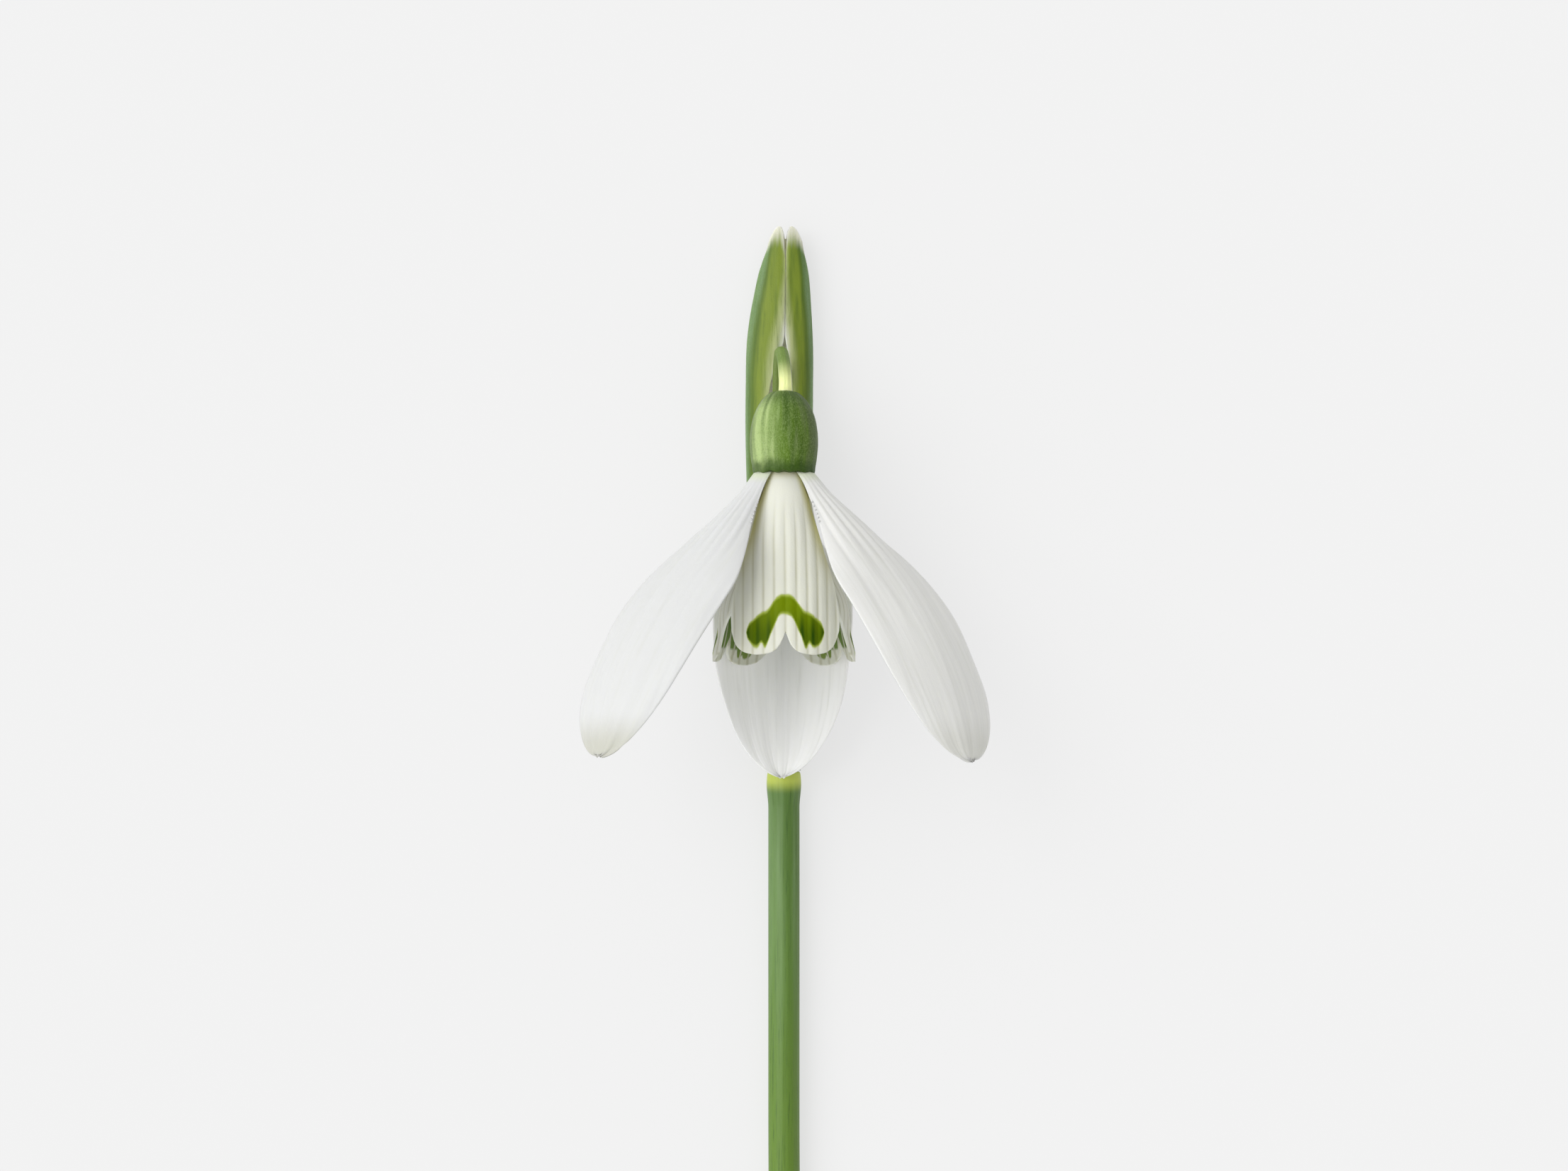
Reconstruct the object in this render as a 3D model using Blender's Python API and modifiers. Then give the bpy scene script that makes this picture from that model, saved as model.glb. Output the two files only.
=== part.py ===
"""A cut snowdrop flower lying on its back on a table, facing up.

The stem runs along Y, with the tip of its bract sheath at +Y and its cut end at -Y, and +Z is up.
Lengths are in millimetres in the named values, and become metres where a shape is made.
"""

import math

import bmesh
import bpy
import numpy as np
from mathutils import Vector

MM = 0.001

# The stem, measured along Y from its top, where the sheath and the flower stalk grow out of it.
SCAPE_LENGTH = 60.0
SCAPE_RADIUS = 1.12
SCAPE_COLLAR_RADIUS = 1.24
SCAPE_COLLAR_AT = 0.9  # below the top
SCAPE_COLLAR_LENGTH = 2.6
SCAPE_SWAY = 0.9  # how far the cut end stands to the side
SCAPE_SWAY_FROM = 0.4  # share of the length
SCAPE_COLLAR_RINGS = (0.0, -0.45, -SCAPE_COLLAR_AT, -1.4, -1.9, -SCAPE_COLLAR_LENGTH)
SCAPE_PLAIN_FROM = -10.0
SCAPE_PLAIN_RINGS = 6
JOINT_GAP = 0.1  # between pieces that grow out of each other

# The bract sheath: an oval tube that is slit along its front.
SPATHE_LENGTH = 39.1
SPATHE_WALL = 0.26
SPATHE_HALF_WIDTH = (
    (0, 1.2), (4, 1.34), (12, 1.95), (20, 2.34), (27, 2.42), (31, 2.36), (34.3, 2.02), (37, 1.6), (39.1, 1.22),
)
SPATHE_HALF_DEPTH = ((0, 1.2), (4, 1.3), (14, 1.45), (26, 1.45), (32, 1.2), (36, 0.8), (39.1, 0.45))
SPATHE_SWAY = ((0, 0.0), (12, -0.2), (27, -0.34), (32, -0.26), (36, -0.02), (39.1, 0.1))
SPATHE_SLIT = (
    (0, 0.07), (3, 0.1), (8, 0.55), (14, 0.85), (27, 0.85), (28.8, 0.6), (30.4, 0.3), (32, 0.1), (34.7, 0.07),
    (39.1, 0.07),
)
SPATHE_SLIT_SWAY = ((0, 0.0), (27, 0.1), (30.4, 0.34), (34.7, 0.2), (39.1, 0.0))
SPATHE_NOTCH = 0.62
SPATHE_NOTCH_AT = 0.36  # share of the half width at which each tip is highest
SPATHE_CORNER = 1.1
SPATHE_TIP_FROM = 0.93  # share of the length above which the rim is shaped
SPATHE_TIP_RISE = 1.1  # the hooded tip stands this far off the table
SPATHE_TIP_RISE_FROM = 29.0
SPATHE_KEEL_AT = 0.62  # share of the half width
# How far the membrane between the two keels stands off the table.
SPATHE_KEEL_RISE = (
    (0, 0.0), (8, 0.14), (20, 0.2), (24, 0.7), (27, 1.2), (29.5, 1.5), (31.5, 1.4), (34, 1.0), (37, 0.45), (39.1, 0.15),
)
SPATHE_HEIGHTS = (
    0.0, 1.5, 3, 5, 8, 11, 14, 17, 20, 23, 26, 28.5, 30.4, 32, 33.4, 34.7, 36, 37, 37.8, 38.4, SPATHE_LENGTH,
)
SPATHE_TURNS = (0.08, 0.2, 0.32, 0.42, 0.52, 0.66, 0.8, 0.92, 1.0)

# The flower stalk, from the top of the stem through the slit and over to the ovary.
PEDICEL_RADIUS = 0.45
PEDICEL_RINGS = 20
PEDICEL_ROUTE = (
    (0.0, 0.12, 1.4), (0.0, 7.0, 1.42), (-0.18, 14.0, 1.45), (-0.3, 20.0, 1.5), (-0.36, 23.6, 1.8),
    (-0.38, 26.3, 2.45), (-0.36, 28.6, 3.35), (-0.27, 29.8, 4.4), (-0.14, 29.87, 5.45),
    (0.0, 29.1, 6.35), (0.09, 28.0, 6.74), (0.1, 27.24, 6.86),
)

# The flower's own frame: its origin is the base of the ovary, +Z points out of the mouth and +Y is its front.
FLOWER_BASE = (0.0, 21.3, 7.5)
FLOWER_TILT = 6.0  # degrees by which the mouth is raised

# The ovary, as (radius, height above the petals' base).
OVARY_PROFILE = (
    (0.0, 5.85), (0.55, 5.84), (0.95, 5.74), (1.4, 5.4), (1.8, 4.85), (2.12, 4.15), (2.34, 3.2),
    (2.41, 2.2), (2.33, 1.1), (2.2, 0.4), (2.12, 0.08), (1.9, 0.0), (0.0, 0.0),
)

# Outer petals. Angles are measured from the flower's axis, outwards.
OUTER_WALL = 0.3
OUTER_BASE_RADIUS = 2.12
OUTER_HALF_WIDTH = 5.3
OUTER_CLAW_SHARE = 0.18
OUTER_WIDEST_AT = 0.42
OUTER_CURL_AT_CLAW = 58.0
OUTER_CURL_REACH = 0.45  # share of the length over which the claw's curl becomes the blade's
OUTER_ROWS, OUTER_COLUMNS = 14, 10
OUTER_CROWDING = 1.5  # rows stand closer together towards the tip
OUTER_STEPS = 20
OUTER_TEPALS = {
    # name: turn about the axis, length, start angle, its linear and squared change, curl of the blade,
    #       lean at the claw and its change, sway of the tip and of the shoulder, side that the sway is on,
    #       fullness and roundness of the tip
    "outer_tepal_right": (60.0, 24.7, 41.3, 25.7, -70.5, 31.0, 7.3, 7.8, 0.70, 0.40, 1, 2.75, 0.46),
    "outer_tepal_left": (-60.0, 24.3, 39.0, 29.5, -68.5, 28.5, 7.6, 8.6, 0.55, 0.28, -1, 2.7, 0.5),
    "outer_tepal_back": (181.3, 21.6, 25.0, -32.0, 9.0, 34.0, 0.0, 0.0, 0.0, 0.0, 1, 2.4, 0.58),
}

# Inner petals: three that make a cup, each with two lobes and a notch between them.
INNER_WALL = 0.26
INNER_LENGTH = 13.25
# How far the rim stands short of the length, from the cleft at the middle to the side margin.
INNER_RIM = ((0, 1.6), (0.167, 0.36), (0.38, 0.03), (0.62, 0.06), (0.8, 0.34), (0.9, 0.72), (1.0, 1.8))
INNER_RADIUS = (
    (0, 1.45), (1.5, 1.8), (3, 2.05), (4.5, 2.38), (6.45, 2.95), (7.65, 3.55), (8.65, 4.08), (9.95, 4.45),
    (11.2, 4.62), (12.65, 4.92),
)
INNER_HALF_WIDTH = (
    (0, 0.95), (1.45, 1.45), (2.95, 1.95), (4.45, 2.38), (6.45, 2.96), (8.95, 3.6), (9.95, 3.74), (12.65, 3.7),
)
INNER_ARC_RADIUS = ((0, 1.9), (3, 2.8), (6.45, 4.6), (12.65, 5.4))
INNER_ROWS, INNER_COLUMNS = 14, 12
INNER_TEPALS = {"inner_tepal_front": (0.0, 0.3), "inner_tepal_right": (118.5, 0.0), "inner_tepal_left": (-118.5, 0.0)}
INNER_PUSH_REACH = 3.0  # the front petal stands off the others from here on
PETAL_GAP = 0.1  # between the ovary and the petals

# Stamens and style, as (radius, height above the petals' base).
STAMEN_COUNT = 6
STAMEN_CIRCLE_RADIUS = 0.84
STAMEN_PROFILE = (
    (0.0, 0.12), (0.13, 0.12), (0.13, 0.95), (0.32, 1.25), (0.36, 2.1), (0.3, 3.6), (0.17, 5.0), (0.0, 6.0),
)
STYLE_PROFILE = ((0.0, 0.12), (0.2, 0.12), (0.17, 2.0), (0.15, 6.0), (0.19, 7.4), (0.1, 8.2), (0.0, 8.5))

LEAF_GREEN = (0.13, 0.27, 0.07)
OVARY_GREEN = (0.14, 0.30, 0.06)
STALK_GREEN = (0.42, 0.52, 0.14)
OUTER_WHITE = (0.86, 0.87, 0.84)
INNER_WHITE = (0.80, 0.82, 0.70)
ANTHER_ORANGE = (0.80, 0.47, 0.08)
STYLE_GREEN = (0.70, 0.76, 0.45)


def clear_scene():
    for obj in list(bpy.data.objects):
        bpy.data.objects.remove(obj, do_unlink=True)


def plant_material(name, colour, roughness):
    material = bpy.data.materials.new(name)
    material.use_nodes = True
    shader = material.node_tree.nodes["Principled BSDF"]
    shader.inputs["Base Color"].default_value = (*colour, 1.0)
    shader.inputs["Roughness"].default_value = roughness
    shader.inputs["Metallic"].default_value = 0.0
    return material


def eased(x, keys):
    """The value at x of a smooth curve through (position, value) keys."""
    place = np.array([key[0] for key in keys], float)
    value = np.array([key[1] for key in keys], float)
    slope = np.gradient(value, place)
    i = int(np.clip(np.searchsorted(place, x) - 1, 0, len(keys) - 2))
    span = place[i + 1] - place[i]
    u = float(np.clip((x - place[i]) / span, 0.0, 1.0))
    return float(
        value[i] * (1 + 2 * u) * (1 - u) ** 2
        + slope[i] * span * u * (1 - u) ** 2
        + value[i + 1] * u * u * (3 - 2 * u)
        + slope[i + 1] * span * u * u * (u - 1)
    )


def smoothstep(x):
    x = min(max(x, 0.0), 1.0)
    return x * x * (3 - 2 * x)


def link(obj, collection, parent, material):
    collection.objects.link(obj)
    obj.parent = parent
    obj.data.materials.append(material)
    return obj


def tube(name, points, radii, collection, parent, material):
    """A round stalk of changing radius through points, as a curve with filled ends."""
    curve = bpy.data.curves.new(name, "CURVE")
    curve.dimensions = "3D"
    curve.bevel_depth = MM
    curve.bevel_resolution = 2
    curve.use_fill_caps = True
    spline = curve.splines.new("POLY")
    spline.points.add(len(points) - 1)
    for target, point, radius in zip(spline.points, points, radii):
        target.co = (*(value * MM for value in point), 1.0)
        target.radius = radius
    return link(bpy.data.objects.new(name, curve), collection, parent, material)


def turned(name, profile, steps, collection, parent, material):
    """A round body turned about local Z from a (radius, height) profile that runs from its top to its foot."""
    mesh = bpy.data.meshes.new(name)
    points = [(radius * MM, 0.0, height * MM) for radius, height in profile]
    mesh.from_pydata(points, [(i, i + 1) for i in range(len(points) - 1)], [])
    obj = link(bpy.data.objects.new(name, mesh), collection, parent, material)
    screw = obj.modifiers.new("Turn", "SCREW")
    screw.steps = screw.render_steps = steps
    screw.use_merge_vertices = True
    screw.merge_threshold = 1e-6
    screw.use_smooth_shade = True
    return obj


def sheet(name, rows, wall, collection, parent, material):
    """A petal: an open sheet of rows of points, outer side out, with its wall grown inwards."""
    mesh = bpy.data.meshes.new(name)
    shape = bmesh.new()
    grid = [[shape.verts.new(Vector(point) * MM) for point in row] for row in rows]
    for low, high in zip(grid, grid[1:]):
        for i in range(len(low) - 1):
            if len(high) == 1:
                shape.faces.new((low[i], high[0], low[i + 1]))
            else:
                shape.faces.new((low[i], high[i], high[i + 1], low[i + 1]))
    shape.to_mesh(mesh)
    shape.free()
    mesh.shade_smooth()
    obj = link(bpy.data.objects.new(name, mesh), collection, parent, material)
    solidify = obj.modifiers.new("Wall", "SOLIDIFY")
    solidify.thickness = wall * MM
    solidify.offset = -1.0
    solidify.use_even_offset = True
    return obj


def make_scape(collection, parent, material):
    """The stem, with its axis raised where it swells, so that its underside lies flat on the table."""
    places = [*SCAPE_COLLAR_RINGS, *np.linspace(SCAPE_PLAIN_FROM, -SCAPE_LENGTH, SCAPE_PLAIN_RINGS)]
    points, radii = [], []
    for y in places:
        swell = 1 - smoothstep(abs(y + SCAPE_COLLAR_AT) / (SCAPE_COLLAR_LENGTH - SCAPE_COLLAR_AT))
        radius = SCAPE_RADIUS + (SCAPE_COLLAR_RADIUS - SCAPE_RADIUS) * swell
        share = (-y / SCAPE_LENGTH - SCAPE_SWAY_FROM) / (1 - SCAPE_SWAY_FROM)
        sway = SCAPE_SWAY * max(0.0, share) ** 2
        points.append((sway, y, SCAPE_COLLAR_RADIUS if y > -SCAPE_COLLAR_AT else radius))
        radii.append(radius)
    return tube("scape", points, radii, collection, parent, material)


def spathe_section(y, turn, inset):
    """The point of the sheath's section at height y, as turn runs from -1 to 1 round its back."""
    half_width = eased(y, SPATHE_HALF_WIDTH) - inset
    half_depth = eased(y, SPATHE_HALF_DEPTH) - inset
    middle = eased(y, SPATHE_SWAY)
    slit_middle = eased(y, SPATHE_SLIT_SWAY)
    edge = slit_middle + math.copysign(eased(y, SPATHE_SLIT), turn)
    start = math.asin(min(abs(edge) / half_width, 1.0)) * math.copysign(1.0, edge * turn)
    angle = start + (math.pi - start) * (1 - abs(turn))
    x = half_width * math.sin(angle) * math.copysign(1.0, turn)
    z = half_depth * math.cos(angle)
    share = abs(x) / half_width
    if z < 0:
        # The back lies flat on two keels, with a raised strip of membrane between them.
        beyond = max(0.0, (share - SPATHE_KEEL_AT) / (1 - SPATHE_KEEL_AT))
        between = max(0.0, 1 - (share / SPATHE_KEEL_AT) ** 2)
        z = eased(y, SPATHE_KEEL_RISE) * between - half_depth * math.sqrt(max(0.0, 1 - beyond**2))
    rise = SPATHE_TIP_RISE * max(0.0, (y - SPATHE_TIP_RISE_FROM) / (SPATHE_LENGTH - SPATHE_TIP_RISE_FROM)) ** 2
    notch = SPATHE_NOTCH * max(0.0, 1 - share / SPATHE_NOTCH_AT) ** 2
    corner = SPATHE_CORNER * max(0.0, (share - SPATHE_NOTCH_AT) / (1 - SPATHE_NOTCH_AT)) ** 2
    top = y - (notch + corner) * smoothstep((y / SPATHE_LENGTH - SPATHE_TIP_FROM) / (1 - SPATHE_TIP_FROM))
    return (middle + x, top + JOINT_GAP, z + eased(y, SPATHE_HALF_DEPTH) + rise)


def make_spathe(collection, parent, material):
    """The bract sheath: an outer and an inner skin lofted along the stem, joined round their rim."""
    turns = [-turn for turn in reversed(SPATHE_TURNS)] + list(SPATHE_TURNS)
    shape = bmesh.new()
    outer, inner = [
        [[shape.verts.new(Vector(spathe_section(y, turn, inset)) * MM) for turn in turns] for y in SPATHE_HEIGHTS]
        for inset in (0.0, SPATHE_WALL)
    ]
    last = len(turns) - 1
    for k in range(len(SPATHE_HEIGHTS) - 1):
        for i in range(last):
            shape.faces.new((outer[k][i], outer[k + 1][i], outer[k + 1][i + 1], outer[k][i + 1]))
            shape.faces.new((inner[k][i], inner[k][i + 1], inner[k + 1][i + 1], inner[k + 1][i]))
        for i in (0, last):
            shape.faces.new((outer[k][i], outer[k + 1][i], inner[k + 1][i], inner[k][i]))
    for k in (0, len(SPATHE_HEIGHTS) - 1):
        for i in range(last):
            shape.faces.new((outer[k][i], outer[k][i + 1], inner[k][i + 1], inner[k][i]))
    bmesh.ops.recalc_face_normals(shape, faces=shape.faces[:])
    mesh = bpy.data.meshes.new("spathe")
    shape.to_mesh(mesh)
    shape.free()
    mesh.shade_smooth()
    return link(bpy.data.objects.new("spathe", mesh), collection, parent, material)


def make_pedicel(collection, parent, material):
    points = []
    keys = [[(i, point[axis]) for i, point in enumerate(PEDICEL_ROUTE)] for axis in range(3)]
    for place in np.linspace(0, len(PEDICEL_ROUTE) - 1, PEDICEL_RINGS):
        points.append(tuple(eased(place, axis_keys) for axis_keys in keys))
    return tube("pedicel", points, [PEDICEL_RADIUS] * len(points), collection, parent, material)


def outer_half_width(s, fullness, roundness):
    if s < OUTER_WIDEST_AT:
        return OUTER_HALF_WIDTH * (OUTER_CLAW_SHARE + (1 - OUTER_CLAW_SHARE) * smoothstep(s / OUTER_WIDEST_AT))
    beyond = (s - OUTER_WIDEST_AT) / (1 - OUTER_WIDEST_AT)
    return OUTER_HALF_WIDTH * (1 - beyond**fullness) ** roundness


def outer_rows(
    length, start, bend, bend_squared, curl, lean, lean_change, tip_sway, shoulder_sway, side, fullness, roundness
):
    """Rows of points of an outer petal whose midrib starts on local +Y and runs down local +Z."""
    rows = []
    radial, axial, done = OUTER_BASE_RADIUS, PETAL_GAP, 0.0
    for k in range(OUTER_ROWS + 1):
        s = 1 - (1 - k / OUTER_ROWS) ** OUTER_CROWDING
        for step in np.linspace(done, s, OUTER_STEPS)[1:]:
            angle = math.radians(start + bend * step + bend_squared * step * step)
            radial += length * (s - done) / (OUTER_STEPS - 1) * math.sin(angle)
            axial += length * (s - done) / (OUTER_STEPS - 1) * math.cos(angle)
        done = s
        angle = math.radians(start + bend * s + bend_squared * s * s)
        outwards = Vector((0, math.cos(angle), -math.sin(angle)))
        across = Vector((1, 0, 0))
        tilt = math.radians(lean + lean_change * s) * side
        sideways = across * math.cos(tilt) + outwards * math.sin(tilt)
        inwards = across * math.sin(tilt) - outwards * math.cos(tilt)
        sway = (tip_sway * s * s + shoulder_sway * math.sin(2 * math.pi * s)) * side
        middle = Vector((0, radial, axial)) + sideways * sway
        half = outer_half_width(min(s, 1.0), fullness, roundness)
        change = (curl - OUTER_CURL_AT_CLAW) * smoothstep(s / OUTER_CURL_REACH)
        curl_here = math.radians(OUTER_CURL_AT_CLAW + change)
        if k == OUTER_ROWS:
            rows.append([middle])
            continue
        row = []
        for i in range(OUTER_COLUMNS + 1):
            w = 2 * i / OUTER_COLUMNS - 1
            reach = half * math.sin(curl_here * w) / curl_here
            depth = half * (1 - math.cos(curl_here * w)) / curl_here
            row.append(middle + sideways * reach + inwards * depth)
        rows.append(row)
    return rows


def inner_rows(push):
    """Rows of points of an inner petal whose midrib runs down local +Z on the +Y side, moved outwards by push."""
    rows = []
    for k in range(INNER_ROWS + 1):
        row = []
        for i in range(INNER_COLUMNS + 1):
            w = 2 * i / INNER_COLUMNS - 1
            axial = PETAL_GAP + (INNER_LENGTH - eased(abs(w), INNER_RIM) - PETAL_GAP) * k / INNER_ROWS
            arc = eased(axial, INNER_ARC_RADIUS)
            angle = w * math.asin(eased(axial, INNER_HALF_WIDTH) / arc)
            pushed = push * smoothstep(axial / INNER_PUSH_REACH)
            radial = eased(axial, INNER_RADIUS) + pushed - arc * (1 - math.cos(angle))
            row.append((arc * math.sin(angle), radial, axial))
        rows.append(row)
    return rows


def make_flower(collection, parent):
    """The ovary and all that hangs from it, in the flower's own frame."""
    flower = bpy.data.objects.new("flower_axis", None)
    collection.objects.link(flower)
    flower.parent = parent
    flower.location = Vector(FLOWER_BASE) * MM
    flower.rotation_euler = (math.radians(90 - FLOWER_TILT), 0, 0)

    ovary = turned("ovary", OVARY_PROFILE, 24, collection, flower, plant_material("ovary", OVARY_GREEN, 0.5))
    ovary.rotation_euler = (math.pi, 0, 0)
    for name, (turn, *shape) in OUTER_TEPALS.items():
        material = plant_material(name, OUTER_WHITE, 0.55)
        tepal = sheet(name, outer_rows(*shape), OUTER_WALL, collection, flower, material)
        tepal.rotation_euler = (0, 0, math.radians(-turn))
    for name, (turn, push) in INNER_TEPALS.items():
        material = plant_material(name, INNER_WHITE, 0.55)
        tepal = sheet(name, inner_rows(push), INNER_WALL, collection, flower, material)
        tepal.rotation_euler = (0, 0, math.radians(-turn))
    for i in range(STAMEN_COUNT):
        name = f"stamen_{i + 1}"
        material = plant_material(name, ANTHER_ORANGE, 0.6)
        stamen = turned(name, STAMEN_PROFILE[::-1], 8, collection, flower, material)
        angle = 2 * math.pi * (i + 0.5) / STAMEN_COUNT
        stamen.location = (
            STAMEN_CIRCLE_RADIUS * MM * math.sin(angle),
            STAMEN_CIRCLE_RADIUS * MM * math.cos(angle),
            0,
        )
    turned("style", STYLE_PROFILE[::-1], 8, collection, flower, plant_material("style", STYLE_GREEN, 0.5))


def seat_on_origin(collection, parent):
    """Moves the whole plant so that the origin is the middle of its footprint, on the table."""
    bpy.context.view_layer.update()
    graph = bpy.context.evaluated_depsgraph_get()
    corners = []
    for obj in collection.objects:
        if obj.type != "EMPTY":
            evaluated = obj.evaluated_get(graph)
            mesh = evaluated.to_mesh()
            corners += [obj.matrix_world @ vertex.co for vertex in mesh.vertices]
            evaluated.to_mesh_clear()
    low = Vector(map(min, *corners))
    high = Vector(map(max, *corners))
    parent.location = (-(low.x + high.x) / 2, -(low.y + high.y) / 2, -low.z)


def main():
    clear_scene()
    collection = bpy.data.collections.new("snowdrop_flower")
    bpy.context.scene.collection.children.link(collection)
    plant = bpy.data.objects.new("plant", None)
    collection.objects.link(plant)
    make_scape(collection, plant, plant_material("scape", LEAF_GREEN, 0.5))
    make_spathe(collection, plant, plant_material("spathe", LEAF_GREEN, 0.5))
    make_pedicel(collection, plant, plant_material("pedicel", STALK_GREEN, 0.45))
    make_flower(collection, plant)
    seat_on_origin(collection, plant)


main()
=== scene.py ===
"""A cut snowdrop flower that lies on its back on a table, facing up, with its finishes, table and light.

The stem runs along Y with its cut end at -Y, and +Z is up. Named sizes are in millimetres, and become
metres where a mesh is made. Every piece stands where the model's own node stands.
"""

import logging
import math
from dataclasses import dataclass
from enum import Enum

import bmesh
import bpy
import numpy as np
from mathutils import Matrix, Vector


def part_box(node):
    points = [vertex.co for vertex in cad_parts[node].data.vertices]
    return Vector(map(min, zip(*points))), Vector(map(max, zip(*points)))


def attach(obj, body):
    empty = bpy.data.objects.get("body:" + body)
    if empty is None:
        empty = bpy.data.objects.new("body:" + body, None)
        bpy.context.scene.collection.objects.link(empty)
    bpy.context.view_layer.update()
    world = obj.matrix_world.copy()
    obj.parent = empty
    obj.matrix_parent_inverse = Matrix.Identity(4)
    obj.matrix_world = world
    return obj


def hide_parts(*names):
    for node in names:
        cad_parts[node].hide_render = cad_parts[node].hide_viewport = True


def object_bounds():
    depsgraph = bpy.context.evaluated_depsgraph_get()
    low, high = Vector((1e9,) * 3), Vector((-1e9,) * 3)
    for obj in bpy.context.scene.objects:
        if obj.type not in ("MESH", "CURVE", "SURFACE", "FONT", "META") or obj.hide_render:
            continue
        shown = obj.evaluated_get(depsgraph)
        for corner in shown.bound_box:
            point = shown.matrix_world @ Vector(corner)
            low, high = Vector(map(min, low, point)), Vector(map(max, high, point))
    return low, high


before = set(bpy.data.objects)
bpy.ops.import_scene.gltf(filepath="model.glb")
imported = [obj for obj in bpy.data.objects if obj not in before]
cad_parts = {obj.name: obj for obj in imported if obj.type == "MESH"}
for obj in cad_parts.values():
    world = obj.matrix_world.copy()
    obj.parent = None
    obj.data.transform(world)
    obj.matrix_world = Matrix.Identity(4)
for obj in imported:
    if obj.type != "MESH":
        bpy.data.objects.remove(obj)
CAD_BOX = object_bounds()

LOG = logging.getLogger("snowdrop")
MM = 0.001
BODY = "root"
Keys = tuple[tuple[float, float], ...]
Colour = tuple[float, float, float]
Socket = bpy.types.NodeSocket


# ---------------------------------------------------------------- small mathematics


def eased(x: np.ndarray | float, keys: Keys) -> np.ndarray:
    """Read a smooth curve through (position, value) keys.

    Args:
        x: Where to read the curve; beyond the keys it holds its end values.
        keys: The positions, in rising order, and the values there.

    Returns:
        The values at x.
    """
    place, value = np.array(keys, float).T
    slope = np.gradient(value, place)
    i = np.clip(np.searchsorted(place, x) - 1, 0, len(keys) - 2)
    span = place[i + 1] - place[i]
    u = np.clip((x - place[i]) / span, 0.0, 1.0)
    return (
        value[i] * (1 + 2 * u) * (1 - u) ** 2
        + slope[i] * span * u * (1 - u) ** 2
        + value[i + 1] * u * u * (3 - 2 * u)
        + slope[i + 1] * span * u * u * (u - 1)
    )


def smoothstep(x: np.ndarray | float) -> np.ndarray:
    """Ease x from 0 to 1, flat at both ends and beyond them."""
    x = np.clip(x, 0.0, 1.0)
    return x * x * (3 - 2 * x)


def tint(red: int, green: int, blue: int) -> Colour:
    """Turn a colour as seen on a display, 0 to 255, into the renderer's linear colour."""
    return tuple(((c / 255 + 0.055) / 1.055) ** 2.4 if c > 10 else c / 255 / 12.92 for c in (red, green, blue))


# ---------------------------------------------------------------- node trees


class Recipe:
    """A node tree under construction, with short ways to add and join nodes."""

    def __init__(self, tree: bpy.types.NodeTree) -> None:
        """Take over a tree."""
        self.tree = tree

    def add(self, kind: str, inputs: dict | None = None, **settings: object) -> bpy.types.Node:
        """Add a node.

        Args:
            kind: The node's type name.
            inputs: What goes in, by socket name or number: a socket to link, or a plain value.
            **settings: Properties of the node itself.

        Returns:
            The node.
        """
        node = self.tree.nodes.new(kind)
        for name, value in settings.items():
            setattr(node, name, value)
        for key, value in (inputs or {}).items():
            if isinstance(value, Socket):
                self.tree.links.new(value, node.inputs[key])
            elif value is not None:
                node.inputs[key].default_value = value
        return node

    def math(self, operation: str, *values: Socket | float, clamp: bool = False) -> Socket:
        """Combine numbers with one Math node and return its result."""
        inputs = dict(enumerate(values))
        return self.add("ShaderNodeMath", inputs, operation=operation, use_clamp=clamp).outputs[0]

    def vector(self, x: Socket | float, y: Socket | float, z: Socket | float) -> Socket:
        """Join three numbers into a vector."""
        return self.add("ShaderNodeCombineXYZ", {0: x, 1: y, 2: z}).outputs[0]

    def scaled(self, vector: Socket, amount: Socket | float) -> Socket:
        """Multiply a vector by a number."""
        return self.add("ShaderNodeVectorMath", {0: vector, 3: amount}, operation="SCALE").outputs[0]

    def stretched(self, vector: Socket, stretch: tuple[float, float, float]) -> Socket:
        """Multiply a vector by another, part by part."""
        return self.add("ShaderNodeVectorMath", {0: vector, 1: stretch}, operation="MULTIPLY").outputs[0]

    def rise(self, value: Socket, low: float, high: float, smooth: bool = True) -> Socket:
        """Go from 0 to 1 as a value goes from low to high, which may be the larger of the two."""
        settings = {"interpolation_type": "SMOOTHSTEP" if smooth else "LINEAR"}
        return self.add("ShaderNodeMapRange", {0: value, 1: low, 2: high}, **settings).outputs[0]

    def noise(self, vector: Socket, scale: float, detail: float = 2.0, roughness: float = 0.5) -> Socket:
        """Read a noise pattern, about 0 to 1, at a vector."""
        inputs = {"Vector": vector, "Scale": scale, "Detail": detail, "Roughness": roughness}
        return self.add("ShaderNodeTexNoise", inputs).outputs[0]


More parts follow.
